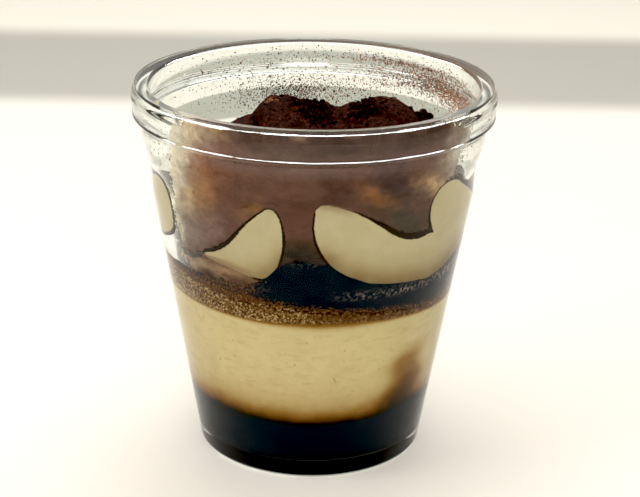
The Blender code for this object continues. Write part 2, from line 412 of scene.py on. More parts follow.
def cup_outline():
    """Half section: up the inside from the floor's middle, over the rim, down the outside."""
    inner_lean = math.degrees(math.atan(INNER_TAPER))
    outer_lean = math.degrees(math.atan(OUTER_TAPER))
    inner = corner_centre(INNER_FOOT, INNER_TAPER, FLOOR, INNER_CORNER)
    outer = corner_centre(OUTER_FOOT, OUTER_TAPER, 0.0, OUTER_CORNER)
    mouth = (MOUTH_RADIUS + MOUTH_ROUND, CUP_HEIGHT - RIM_TOP_FALL - MOUTH_ROUND)
    outline = [(0.0, FLOOR)] + arc(inner, INNER_CORNER, -90, -inner_lean, 8)
    for height in np.linspace(WALL_START, LEDGE_BOTTOM, 16):
        outline.append((INNER_FOOT + INNER_TAPER * height, height))
    outline.append((MOUTH_RADIUS, LEDGE_TOP))
    outline += arc(mouth, MOUTH_ROUND, 180, 95, 6)
    outline += rim_side(8)
    for height in np.linspace(WAIST_HEIGHT + WAIST_HALF, WAIST_HEIGHT - WAIST_HALF, 12):
        outline.append((outer_radius(height), height))
    for height in np.linspace(WAIST_HEIGHT - WAIST_HALF, OUTER_WALL_START, 12)[1:]:
        outline.append((outer_radius(height), height))
    outline += arc(outer, OUTER_CORNER, -outer_lean, -90, 8)
    outline += [(STANDING_RING, 0.0), (STANDING_RING - PUNT_SLOPE, PUNT_DEPTH), (0.0, PUNT_DEPTH)]
    return outline


print(f"half section of {len(cup_outline())} points")

# %% Spin the cup and let its wall waver
CUP_STEPS = 192
WAVER, WAVER_FROM = 0.035 * MM, 20 * MM
SMOOTH_BELOW = 38           # degrees: sharper edges than this stay crisp

cup = spun("glass_cup_clear", cup_outline(), CUP_STEPS)
corners = points_of(cup)
turn = turn_of(corners)
radius = np.hypot(corners[:, 0], corners[:, 1])
height = corners[:, 2]
on_wall = (radius > WAVER_FROM) & (height > OUTER_WALL_START) & (height < CREASE_HEIGHT)
waver = np.sin(3 * turn + 0.6 + height * 90) + 0.6 * np.sin(7 * turn + 1.9 - height * 160)
grow = 1 + np.where(on_wall, WAVER * waver / np.maximum(radius, MM), 0.0)
corners[:, 0] *= grow
corners[:, 1] *= grow
move_points(cup, corners)
smooth(cup, SMOOTH_BELOW)

# %% [markdown]
# Clear glass bends light, and Cycles sends no lamp light straight through a bending surface. The
# usual cure is to let shadow rays pass: a Light Path node swaps the glass for a plain transparent
# surface when a ray only asks whether a lamp can be seen. A tall even wall would mirror the room
# as a veil over the food, so only the rim keeps its full reflections, and a thin absorption makes
# the thick rim a little greener than the wall.

# %% Clear glass
GLASS_TINT = (246, 249, 244)
GLASS_MIRRORS, FULL_MIRRORS = (110, 110, 110), (255, 255, 255)    # head-on reflection: wall, rim
MIRRORS_FROM, MIRRORS_TO = 80 * MM, 83 * MM
SHADOW_TINT = (0.93, 0.95, 0.93, 1.0)
DEPTH_TINT, DEPTH_DENSITY = (0.84, 0.88, 0.81, 1.0), 32.0


def clear_glass():
    material, tree, shader = new_material("clear_glass", 0.0, 0.5)
    shader.inputs["Base Color"].default_value = (*seen(*GLASS_TINT), 1.0)
    up = add(tree, "SeparateXYZ", {0: place(tree)}).outputs["Z"]
    mirrors = blend(tree, stretch(tree, up, MIRRORS_FROM, MIRRORS_TO), GLASS_MIRRORS, FULL_MIRRORS)
    tree.links.new(mirrors, shader.inputs["Specular Tint"])
    shader.inputs["Transmission Weight"].default_value = 1.0
    shader.inputs["IOR"].default_value = 1.5
    through = add(tree, "BsdfTransparent", {"Color": SHADOW_TINT})
    path = add(tree, "LightPath")
    mix = add(tree, "MixShader", {0: path.outputs["Is Shadow Ray"], 1: shader.outputs[0],
                                  2: through.outputs[0]})
    tree.links.new(mix.outputs[0], tree.nodes["Material Output"].inputs["Surface"])
    thick = add(tree, "VolumeAbsorption", {"Color": DEPTH_TINT, "Density": DEPTH_DENSITY})
    tree.links.new(thick.outputs[0], tree.nodes["Material Output"].inputs["Volume"])
    return material


dress(cup, clear_glass(), "clear_glass", "glass_cup")

# %% [markdown]
# ## Layers poured into the cup
# A layer takes the cup's shape at its side and has an uneven top. Each is spun as a plain disc
# whose points say only how far out they lie and how far up between the two surfaces; every point
# is then moved to where the layer really is. What lies against glass shows no air gap, so each
# layer bites a little into the wall.

# %% Surfaces between the layers
BITE = 0.15 * MM
LAP = 0.25 * MM
BAND_LEFT, BAND_RIGHT = 6.4 * MM, 1.4 * MM      # how thick the crumb band is at its two sides
LAYER_STEPS = 240
TOP_RINGS = (0.0, 0.45, 0.8, 0.95, 1.0)


def ripple(turn, ring, waves, shift, size=0.3 * MM):
    return size * ring * ring * np.sin(waves * turn + shift)


def uneven(turn, ring, size, seed):
    """Irregular ups and downs round the side, made of a few waves that don't repeat."""
    waves = (5, 9, 14, 23, 37)
    total = sum(np.sin(wave * turn + seed * (index + 1.7)) / (index + 1.5)
                for index, wave in enumerate(waves))
    return size * ring * ring * total


def floor_surface(turn, ring):
    return np.full_like(turn, FLOOR - BITE)


def base_surface(turn, ring):
    return 15.0 * MM + 1.1 * MM * ring * np.sin(turn) + ripple(turn, ring, 3, 0.8)


def cream_surface(turn, ring):
    return 43.2 * MM - 0.7 * MM * ring * np.sin(turn) + ripple(turn, ring, 4, 0.3)


def band_surface(turn, ring):
    share = 0.5 + 0.5 * ring * np.sin(turn)
    depth = BAND_LEFT + (BAND_RIGHT - BAND_LEFT) * share
    return cream_surface(turn, ring) + depth + uneven(turn, ring, 0.35 * MM, 1.3)

# %% The upper soaked layer's tide
# How high it stands at the glass: degrees from the front, millimetres up. It is squeezed up
# between two spoonfuls of cream.
TIDE = ((-180, 57.5), (-172, 60), (-164, 56.5), (-150, 53.6), (-130, 53), (-116, 55.5),
        (-107, 59.5), (-100, 55), (-90, 52.4), (-62, 52.4), (-40, 51.9), (-27, 52.2), (-21, 53.6),
        (-16, 55.6), (-12.5, 58), (-9, 59.2), (-4, 59.4), (2, 59.3), (6, 59.2), (9, 57.8),
        (14, 55.6), (22, 53.6), (34, 52.0), (50, 51.2), (64, 53.2), (78, 56.5), (87, 59.5),
        (95, 60), (104, 55), (118, 53.2), (140, 54), (160, 57), (180, 57.5))
BED_LEVEL = 51.0
TIDE_STEEPNESS = 8


def bed_surface(turn, ring):
    degrees = (np.degrees(turn) + 180) % 360 - 180
    rise = (drawn_line(degrees, TIDE) - BED_LEVEL) * ring ** TIDE_STEEPNESS
    return (BED_LEVEL + rise) * MM + uneven(turn, ring, 0.22 * MM, 2.9)


print("the tide's highest point:", max(up for _, up in TIDE), "mm up")

# %% One layer
def poured(name, lower, upper, side_rows, bite):
    outline = [(ring, 1.0) for ring in TOP_RINGS]
    outline += [(1.0, 1 - row / side_rows) for row in range(1, side_rows)]
    outline += [(ring, 0.0) for ring in reversed(TOP_RINGS)]
    item = spun(name, outline, LAYER_STEPS)
    points = points_of(item)
    ring = np.minimum(np.hypot(points[:, 0], points[:, 1]), 1.0)
    turn = turn_of(points)
    height = lower(turn, ring) * (1 - points[:, 2]) + upper(turn, ring) * points[:, 2]
    move_points(item, round_the_cup(turn, ring * (inner_radius(height) + bite), height))
    smooth(item, 50)
    return item, turn, ring, height


def bump_at(turn, height, at_degrees, at_height, half_degrees, half_height):
    """A soft spot round a place on the wall: 1 in its middle, 0 far from it."""
    side = (np.degrees(turn) - at_degrees) / half_degrees
    up = (height / MM - at_height) / half_height
    return np.exp(-side ** 2 - up ** 2)

# %% [markdown]
# ## Coffee: the soaked base and the soaked layer above
# Biscuit that has drunk strong coffee is almost black and wet. Its colour is not even: a hint of
# blue where it is wettest, brown where crumbs show. Flecks of cocoa float at the top of the upper
# layer, and the material finds them by a number stored on the mesh.

# %% The coffee's finish
def coffee_soaked():
    material, tree, shader = new_material("coffee_soaked_biscuit", 0.42)
    wet = blend(tree, patches(tree, 4 * MM, 0.35, 0.7), (25, 36, 46), (33, 41, 49))
    crumb = patches(tree, 0.9 * MM, 0.62, 0.78, detail=4.0)
    wet = blend(tree, weaker(tree, crumb, 0.5), wet, (44, 34, 28))
    grains = patches(tree, 0.8 * MM, 0.5, 0.56, roughness=0.6)
    wet = blend(tree, weaker(tree, number(tree, "flecks"), grains), wet, (142, 130, 122))
    grit = ramp(tree, cloud(tree, 0.5 * MM, 4.0, 0.7),
                ((0.4, (74, 48, 36)), (0.55, (104, 72, 48)), (0.68, (168, 130, 86))))
    rust = frayed(tree, "rust", 0.6 * MM, 0.3, 0.7, 0.6, "LINEAR", detail=5.0, roughness=0.7)
    wet = blend(tree, stretch(tree, rust, 0.35, 0.8), wet, grit)
    paint(tree, shader, wet, cloud(tree, 0.8 * MM, 5.0), 0.15 * MM)
    return material

# %% The soaked base
coffee = coffee_soaked()
BASE_ROWS = 12
base, turn, ring, height = poured("coffee_base_soaked", floor_surface, base_surface, BASE_ROWS, BITE)
keep_number(base, "flecks", 0 * height)
keep_number(base, "rust", 0 * height)
dress(base, coffee, "coffee_soaked_biscuit", "coffee_base")

# %% The soaked layer above
def sunk(surface, depth):
    return lambda turn, ring: surface(turn, ring) - depth


# Where flecks of cocoa float: strength, degrees, millimetres up, and the spot's half sizes.
FLECKS = ((0.55, 20, 50.3, 9, 1.1), (0.9, 42, 50.2, 12, 1.0), (1.0, 62, 51.0, 8, 1.6),
          (0.25, 0, 59.5, 9, 1.2), (0.5, -30, 51.8, 10, 1.0))
UPPER_ROWS, UPPER_BITE = 26, BITE * 0.9

upper, turn, ring, height = poured("coffee_upper_soaked", sunk(band_surface, LAP), bed_surface,
                                   UPPER_ROWS, UPPER_BITE)
flecks = sum(strength * bump_at(turn, height, *spot) for strength, *spot in FLECKS)
keep_number(upper, "flecks", np.clip(flecks, 0, 1) * (ring > 0.97))
over_band = (height - band_surface(turn, ring)) / MM
left = share_of(-np.degrees(turn), 14, 12)
keep_number(upper, "rust", 0.75 * np.clip(1 - over_band / 1.5, 0, 1) + 0.62 * left)
dress(upper, coffee, "coffee_soaked_biscuit", "coffee_upper")

# %% [markdown]
# ## Deep cream
# Mascarpone cream is a warm, slightly yellow white, and coffee creeps up into it from below. That
# stain follows the real soaking: a fading band along the base and one tall tongue at the right
# where the liquid ran up the wall. Its strength is worked out for each corner of the mesh and a
# ramp turns it into colour. Small pores and darker pits come from noise.

# %% The cream's finish
SOAK_STEPS = ((0.0, (225, 207, 159)), (0.25, (202, 176, 124)), (0.5, (164, 124, 68)),
              (0.7, (120, 82, 42)), (0.88, (62, 44, 26)), (0.97, (28, 30, 28)), (1.0, (24, 37, 44)))
SOAK_LINE = ((-180, 15.4), (-70, 15.4), (-48, 16.1), (-20, 15.5), (0, 15.1), (20, 15.5),
             (34, 15.8), (46, 16.0), (62, 16.0), (80, 15.6), (180, 15.4))


def mascarpone():
    material, tree, shader = new_material("mascarpone_cream", 0.5)
    soaked = frayed(tree, "soaked", 3 * MM, 0.2, 0.8, 0.06, "LINEAR")
    colour = ramp(tree, soaked, SOAK_STEPS)
    dry = stretch(tree, number(tree, "soaked"), 0.5, 0.1)
    mottle = patches(tree, 9 * MM, 0.35, 0.7, to_high=0.25, detail=2.0)
    streaks = patches(tree, 3.5 * MM, 0.5, 0.7, to_high=0.22, detail=4.0, roughness=0.5,
                      squeeze=(1, 1, 3))
    pits = patches(tree, 1.2 * MM, 0.67, 0.74, to_high=0.4, detail=2.0)
    for share, tone in ((mottle, (204, 184, 134)), (streaks, (178, 156, 104)), (pits, (150, 122, 76))):
        colour = blend(tree, weaker(tree, share, dry), colour, tone)
    paint(tree, shader, colour, cloud(tree, 0.5 * MM, 4.0), 0.05 * MM)
    return material

# %% The deep cream and its stain
CREAM_ROWS, CREAM_BITE = 72, BITE * 0.95
CREEP_HEIGHT = 4.4                          # millimetres that the coffee crept up all round
TONGUE_TOP, TONGUE_MIDDLE = 35.5, 48.5      # millimetres up, degrees to the right
TONGUE_WIDEST_AT = 31

deep, turn, ring, height = poured("cream_deep", sunk(base_surface, LAP), cream_surface,
                                  CREAM_ROWS, CREAM_BITE)
up, degrees = height / MM, np.degrees(turn)
above_base = np.clip(up - drawn_line(degrees, SOAK_LINE), 0, None)
creep = np.exp(-(above_base / CREEP_HEIGHT) ** 1.15)
wavering = degrees + 1.5 * np.sin(up * 0.7)
tongue_half = 10 + 0.35 * (TONGUE_WIDEST_AT - up)
arch = share_of(up, TONGUE_TOP, -5) ** 0.8 * np.exp(
    -np.abs((wavering - TONGUE_MIDDLE) / tongue_half) ** 3)
tongue = arch * np.clip(0.5 + 0.02 * (TONGUE_WIDEST_AT - up), 0, 0.82)
under_band = (cream_surface(turn, ring) - height) / MM
below = 0.66 * bell(under_band, 0, 0.5 + 0.9 * bell(degrees, 6, 24))
keep_number(deep, "soaked", np.clip(1 - (1 - creep) * (1 - np.clip(tongue, 0, 1)) * (1 - below), 0, 1))
dress(deep, mascarpone(), "mascarpone_cream", "cream_lower")

# %% [markdown]
# ## The band of cocoa crumbs
# Between the cream and the second soaked layer lies loose cocoa and biscuit crumb: brown grains
# with golden ones among them. At this size each grain is a cell of a Voronoi pattern, with its own
# shade, and the dark upper edge is ragged.

# %% The crumbs' finish
def cocoa_crumbs():
    material, tree, shader = new_material("cocoa_crumbs", 0.75)
    grain = cells(tree, 0.36 * MM)
    shade = add(tree, "SeparateColor", {0: grain.outputs["Color"]})
    colour = ramp(tree, shade.outputs[0],
                  ((0.0, (60, 38, 24)), (0.35, (100, 70, 44)), (0.6, (136, 102, 66)),
                   (0.82, (166, 132, 88)), (1.0, (216, 190, 142))))
    soft = ramp(tree, cloud(tree, 1.3 * MM, 5.0, 0.7),
                ((0.3, (60, 38, 26)), (0.5, (96, 64, 40)), (0.65, (140, 102, 66)), (0.75, (170, 132, 90))))
    colour = blend(tree, stretch(tree, number(tree, "loose"), 0.0, 1.0, 0.15, 0.95), soft, colour)
    dark = frayed(tree, "dark", 0.8 * MM, 0.3, 0.7, 0.45, detail=4.0)
    colour = blend(tree, stretch(tree, dark, 0.35, 0.7), colour, (50, 28, 18))
    pale = frayed(tree, "pale", 0.8 * MM, 0.3, 0.7, 0.3, detail=4.0)
    colour = blend(tree, stretch(tree, pale, 0.2, 0.9), colour, (196, 168, 124))
    paint(tree, shader, colour, grain.outputs["Distance"], 0.15 * MM)
    return material

# %% The cocoa band
BAND_ROWS, BAND_BITE = 20, BITE * 0.85

band, turn, ring, height = poured("cocoa_band_crumbs", sunk(cream_surface, LAP), band_surface,
                                  BAND_ROWS, BAND_BITE)
degrees, bottom = np.degrees(turn), cream_surface(turn, ring)
share = (height - bottom) / np.maximum(band_surface(turn, ring) - bottom, 0.01 * MM)
keep_number(band, "loose", np.clip(0.5 - degrees / 45, 0, 1))
keep_number(band, "dark", 0.75 * share_of(share, 0.4, 0.6) * np.clip(0.9 + degrees / 90, 0.35, 1.2))
keep_number(band, "pale", np.clip(1 - share * 3.2, 0, 1) * 0.3 + np.clip((-48 - degrees) / 20, 0, 0.3))
dress(band, cocoa_crumbs(), "cocoa_crumbs", "cocoa_band")

# %% [markdown]
# ## Five spoonfuls of cream
# A spoonful of thick cream pushed into a glass swells until it meets the wall, the layer below or
# its neighbour, and bare cream shows exactly where it is pressed against the glass. Everywhere
# else cocoa has settled on it. So each spoonful starts as a sphere whose points travel outwards
# until something stops them, and the pressed places are drawn as outlines on the wall: angle,
# height and the thickness of the dark cocoa line that gathered along that stretch of the edge.

# %% Where each spoonful lies and where it touches the glass
MEETING = np.array((3.0, 2.0, 0.0)) * MM

# limits: the two angles it lies between. lumps: angle and distance of the middle from the meeting
# point, height, half sizes out, across and up. hollows: angle, height, radius, depth.
SPOONFULS = {
    "cream_dollop_right": {
        "limits": (-5, 88),
        "lumps": ((43, 17.0, 63.8, 25.0, 29.0, 17.2),),
        "hollows": ((29, 76.5, 13.5, 7.0),),
        "touch": ((1, 70, .22), (1.5, 73, .13), (4, 74, .1), (8, 73.5, .1), (14, 72, .13), (20, 69.7, .25),
                  (25, 67.5, .5), (30, 65.2, .85), (36, 63.4, 1.0), (42, 62.9, .9), (47, 63.4, .8),
                  (49.5, 63.4, .6), (48.3, 64.6, .5), (46.6, 67, .35), (46.2, 69.6, .22), (47.4, 72.4, .2),
                  (50, 74.6, .18), (54.5, 75.6, .25), (59.5, 75.0, .4), (64, 73.2, .35), (70, 71, .3),
                  (77, 68.5, .3), (84, 65.5, .3), (86, 61, .3), (80, 56.5, .25), (70, 54, .2),
                  (60, 52.2, .2), (50, 51.3, .2), (40, 51.5, .2), (30, 52.2, .2), (22, 53.2, .2),
                  (16, 54.6, .22), (12, 56, .25), (7, 59, .28), (3, 63, .3), (1, 67, .28))},
    "cream_dollop_front": {
        "limits": (-55, -5),
        "lumps": ((-28, 16.5, 63.0, 24.0, 18.0, 16.5),),
        "hollows": ((-45, 74.5, 16.5, 6.0),),
        "touch": ((-14, 72.2, .14), (-12, 70.5, .16), (-10.9, 67.5, .2), (-10.7, 64.5, .24),
                  (-11.4, 61, .28), (-13, 58, .3), (-15.5, 55.6, .4), (-19, 54.6, .4), (-23, 54.8, .1),
                  (-28, 55.5, .05), (-33, 56.3, .05), (-39, 57, .05), (-43.5, 57.7, .06), (-43, 58.3, .4),
                  (-38, 59.3, .6), (-34, 60.8, .6), (-30, 63, .45), (-26, 66.1, .3), (-22, 68.8, .25),
                  (-18, 71.2, .2), (-16, 72.2, .16))},
    "cream_dollop_left": {
        "limits": (-104, -55),
        "lumps": ((-84, 17.0, 63.5, 27.0, 17.0, 11.5),),
        "hollows": (),
        "touch": ((-64, 70.4, .3), (-61.5, 67, .2), (-61.4, 63.6, .4), (-63.5, 60.8, .5), (-69, 58.8, .35),
                  (-77, 57.3, .3), (-86, 57.5, .3), (-93, 60, .3), (-96, 64, .35), (-94, 68, .35),
                  (-87, 70.2, .35), (-78, 71.4, .35), (-72, 72.4, .35), (-67.5, 72.2, .35))},
    "cream_dollop_back_left": {
        "limits": (-180, -104),
        "lumps": ((-140, 16.0, 64.0, 24.0, 20.0, 15.5), (-126, 13.0, 72.0, 10.5, 9.0, 14.0)),
        "hollows": ((-135, 79.0, 12.5, 6.0),),
        "touch": ((-110, 70, .35), (-109, 64, .4), (-113, 58, .35), (-122, 54, .25), (-134, 52.8, .2),
                  (-148, 53.5, .2), (-160, 56, .3), (-169, 60, .4), (-173, 66, .4), (-172, 71, .3),
                  (-167, 73.6, .25), (-160, 72.6, .3), (-153, 69, .6), (-146, 65.8, .9), (-138, 64.4, .9),
                  (-130, 65.5, .7), (-124, 69, .5), (-118, 72.4, .3), (-113, 73, .3))},
    "cream_dollop_back_right": {
        "limits": (88, 180),
        "lumps": ((128, 16.0, 64.0, 25.0, 23.0, 15.5), (111, 16.0, 72.0, 11.0, 10.0, 14.0)),
        "hollows": ((150, 78.0, 12.0, 6.0),),
        "touch": ((94, 69, .35), (93, 63, .4), (97, 58, .3), (106, 54, .25), (118, 52.8, .2),
                  (132, 53.2, .2), (146, 54.5, .25), (158, 57, .3), (167, 61, .4), (172, 66, .4),
                  (170, 70.4, .35), (163, 71.6, .3), (156, 69.6, .5), (149, 67.2, .7), (141, 66.8, .7),
                  (133, 69.4, .5), (124, 73.6, .35), (115, 75.6, .3), (105, 74.6, .3), (98, 72.4, .3))},
}


print(len(SPOONFULS), "spoonfuls")

# %% [markdown]
# The outline is drawn with few points and rounded by a spline, and for any place on the wall the
# distance to it can be measured: below zero inside the pressed patch, above zero outside. That one
# number later drives both the shape and the colour.

# %% Distances on the wall
WALL_RADIUS = 36.0      # millimetres: turns an angle on the wall into a length
SPLINE_STEPS = 8


def rounded_outline(points, steps=SPLINE_STEPS):
    """A closed Catmull-Rom spline through the points."""
    points = np.asarray(points, dtype=float)
    before, after = np.roll(points, 1, 0), np.roll(points, -1, 0)
    beyond = np.roll(points, -2, 0)
    rows = []
    for share in np.arange(steps) / steps:
        square, cube = share ** 2, share ** 3
        rows.append(0.5 * (2 * points + (after - before) * share
                           + (2 * before - 5 * points + 4 * after - beyond) * square
                           + (3 * points - before - 3 * after + beyond) * cube))
    return np.stack(rows, 1).reshape(-1, points.shape[1])


def unrolled(degrees, millimetres):
    """A place on the wall as flat millimetres, angle first."""
    return np.stack([np.radians(degrees) * WALL_RADIUS, millimetres], -1)


def from_outline(outline, degrees, millimetres):
    """Millimetres to a closed outline, below zero inside, and the nearest point's index."""
    line = unrolled(outline[:, 0], outline[:, 1])
    start, end = line, np.roll(line, -1, 0)
    spots = unrolled(degrees, millimetres)
    nearest = np.full(len(spots), 1e9)
    index = np.zeros(len(spots), dtype=int)
    inside = np.zeros(len(spots), dtype=bool)
    for order, (first, last) in enumerate(zip(start, end)):
        along = last - first
        share = np.clip(((spots - first) @ along) / max(along @ along, 1e-12), 0, 1)
        distance = np.hypot(*(spots - first - share[:, None] * along).T)
        closer = distance < nearest
        nearest[closer] = distance[closer]
        index[closer] = order
        crosses = (first[1] > spots[:, 1]) != (last[1] > spots[:, 1])
        rise = along[1] if along[1] else 1e-12
        inside ^= crosses & (spots[:, 0] < first[0] + (spots[:, 1] - first[1]) / rise * along[0])
    return np.where(inside, -nearest, nearest), index

# %% Distances to the pressed patches
TOUCHES = {name: rounded_outline(spoonful["touch"]) for name, spoonful in SPOONFULS.items()}
print({name: len(outline) for name, outline in TOUCHES.items()}, "points")


def from_touch(degrees, millimetres, names=TOUCHES):
    """Distance to the nearest pressed patch, and the cocoa line's thickness there."""
    least = np.full(len(degrees), 1e9)
    line = np.zeros(len(degrees))
    for name in names:
        distance, index = from_outline(TOUCHES[name], degrees, millimetres)
        closer = distance < least
        least[closer] = distance[closer]
        line[closer] = TOUCHES[name][index, 2][closer]
    return least, line

# %% [markdown]
# Now the swelling. For each direction from the middle of a spoonful there is a way to go before
# the lump ends, before the plane shared with a neighbour, before the soaked layer and before the
# glass. The least of them counts, with the corners between them rounded as soft cream rounds them.
# Outside a pressed patch the cream curves away from the wall, at first slowly, then faster.

# %% How far the cream swells
EDGE_SOFTNESS = 14.0
HOLLOW_FULLNESS = 0.7
CREAM_ROUNDING = 5.0      # millimetres: how tightly the cream curves away beside a pressed patch
CREASE_GAP, CREASE_WIDTH = 0.14, 0.35     # millimetres: the first step away from the glass
MOST_CURVED = 6.0
LINE_KEPT = 1.6           # how far past the patch, in line widths, the cream still lies on the glass
FREE_FROM, FREE_TO = 1.0, 6.0
NOTHING_NEAR = 1.0        # metres: a way that is never the shortest
BED_HALVINGS = 22


def outwards(degrees):
    turn = math.radians(degrees)
    return np.array((math.sin(turn), -math.cos(turn), 0.0))


def lump_middle(lump):
    middle = MEETING + outwards(lump[0]) * lump[1] * MM
    middle[2] = lump[2] * MM
    return middle

# %% The way to each thing that stops it
def way_through_lump(start, ways, lump):
    out = outwards(lump[0])
    across = np.array((-out[1], out[0], 0.0))
    sizes = np.array(lump[3:]) * MM
    axes = np.stack([out, across, (0.0, 0.0, 1.0)]) / sizes[:, None]
    begin = axes @ (start - lump_middle(lump))
    step = ways @ axes.T
    a, b, c = (step ** 2).sum(1), step @ begin, begin @ begin - 1.0
    root = b * b - a * c
    return np.where(root > 0, np.maximum((-b + np.sqrt(np.maximum(root, 0))) / a, 0), 0.0)


def way_to_glass(start, ways):
    wall = INNER_FOOT + INNER_TAPER * start[2]
    climb = INNER_TAPER * ways[:, 2]
    a = ways[:, 0] ** 2 + ways[:, 1] ** 2 - climb ** 2
    b = start[0] * ways[:, 0] + start[1] * ways[:, 1] - wall * climb
    c = start[0] ** 2 + start[1] ** 2 - wall ** 2
    safe = np.where(a > 1e-6, a, 1.0)
    return np.where(a > 1e-6, (-b + np.sqrt(np.maximum(b * b - a * c, 0))) / safe, NOTHING_NEAR)


def way_to_neighbour(start, ways, degrees, side):
    along = outwards(degrees)
    normal = np.array((-along[1], along[0], 0.0)) * side
    speed = ways @ normal
    way = (MEETING - start) @ normal / np.maximum(speed, 1e-6)
    return np.where(speed > 1e-6, way, NOTHING_NEAR)


def way_to_bed(start, ways):
    near = np.zeros(len(ways))
    far = np.full(len(ways), 40 * MM)
    for _ in range(BED_HALVINGS):
        half = (near + far) / 2
        point = start + ways * half[:, None]
        ring = np.minimum(np.hypot(point[:, 0], point[:, 1]) / inner_radius(point[:, 2]), 1.0)
        free = point[:, 2] > bed_surface(turn_of(point), ring) - LAP
        near, far = np.where(free, half, near), np.where(free, far, half)
    return np.where(ways[:, 2] < -0.03, near, NOTHING_NEAR)


def way_to_hollow(start, ways, hollow):
    degrees, height, radius, depth = hollow
    centre = outwards(degrees) * float(inner_radius(height * MM))
    centre[2] = height * MM
    glass = way_to_glass(start, ways)
    share = np.linalg.norm(start + ways * glass[:, None] - centre, axis=1) / (radius * MM)
    dip = depth * MM * np.maximum(1 - share * share, 0) ** HOLLOW_FULLNESS
    return np.where(share < 1, glass - dip, NOTHING_NEAR)


def soft_least(ways):
    ways = np.maximum(np.stack(ways), 1e-5)
    least = ways.min(0)
    return least / ((least / ways) ** EDGE_SOFTNESS).sum(0) ** (1 / EDGE_SOFTNESS)

# %% [markdown]
# The dusted side is rough: soft ridges left by the spoon, then lumps of cocoa, then grains. They
# are real relief, three sizes of noise laid on top of each other, and they fade out where the
# cream is pressed flat.

# %% Shape one spoonful
SPOON_SEGMENTS, SPOON_RINGS = ((300, 150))
RIDGES = ((7.0, 0.55), (2.6, 0.32), (1.0, 0.16))      # size and height in millimetres
MOST_PROUD = 0.25
SOAK_CLIMB, SOAK_STRENGTH = 9.0, 0.62       # coffee drawn up into the bare cream, in millimetres


def roughness_of(points, sizes, seed):
    """Relief in millimetres for each point, from several sizes of noise."""
    total = np.zeros(len(points))
    for size, height in sizes:
        shift = Vector((seed, seed * 2.3, seed * 0.7))
        total += height * np.array([noise.noise(Vector(point) / (size * MM) + shift)
                                    for point in points])
    return total


def shaped_spoonful(name, spoonful, seed):
    middle = lump_middle(spoonful["lumps"][0])
    nothing_selected()
    bpy.ops.mesh.primitive_uv_sphere_add(segments=SPOON_SEGMENTS, ring_count=SPOON_RINGS,
                                         radius=1.0, location=(0, 0, 0))
    item = just_added(name + "_cream")
    ways = points_of(item)
    ways /= np.linalg.norm(ways, axis=1)[:, None]

    glass = way_to_glass(middle, ways)
    at_glass = middle + ways * glass[:, None]
    degrees, (first, last) = np.degrees(turn_of(at_glass)), spoonful["limits"]
    degrees = np.where(degrees - first < -90, degrees + 360, degrees)
    degrees = np.where(degrees - last > 90, degrees - 360, degrees)
    away, line = from_touch(degrees, at_glass[:, 2] / MM, [name])

    free = [np.max([way_through_lump(middle, ways, lump) for lump in spoonful["lumps"]], 0),
            way_to_neighbour(middle, ways, first, -1), way_to_neighbour(middle, ways, last, 1)]
    free += [way_to_hollow(middle, ways, hollow) for hollow in spoonful["hollows"]]
    bed = way_to_bed(middle, ways)
    soft = soft_least(free + [bed])

    outside = np.maximum(away - line * LINE_KEPT, 0)
    curved = outside ** 2 / (2 * CREAM_ROUNDING) + CREASE_GAP * (1 - np.exp(-outside / CREASE_WIDTH))
    pressed = glass + (BITE - np.minimum(curved, MOST_CURVED) * MM)
    share = share_of(away, FREE_FROM, FREE_TO - FREE_FROM)
    share = share * share * (3 - 2 * share)
    way = pressed * (1 - share) + np.minimum(soft, pressed) * share
    way = np.minimum(way, bed)

    points = middle + ways * way[:, None]
    dusted = share_of(away, 0.6, 2.5) * share_of(points[:, 2] / MM, 56, 6)
    bumps = roughness_of(points, RIDGES, seed) * dusted
    points = points + ways * (np.minimum(bumps, MOST_PROUD) * MM)[:, None]
    move_points(item, points)
    keep_number(item, "away", away)
    keep_number(item, "line", line)
    over_bed = points[:, 2] / MM - bed_surface(np.radians(degrees), 1.0) / MM
    soak = np.clip(1 - over_bed / SOAK_CLIMB, 0, 1)
    keep_number(item, "soaked", SOAK_STRENGTH * soak ** 1.1)
    smooth(item)
    return item

# %% [markdown]
# ### Cream under cocoa
# One material covers both. Inside the pressed patch the colour is cream, a little brown towards
# the soaked layer; past its edge it turns to cocoa within a tenth of a millimetre. Cocoa powder
# that has drunk moisture is nearly black with rust-red grains, and it is fully matt.

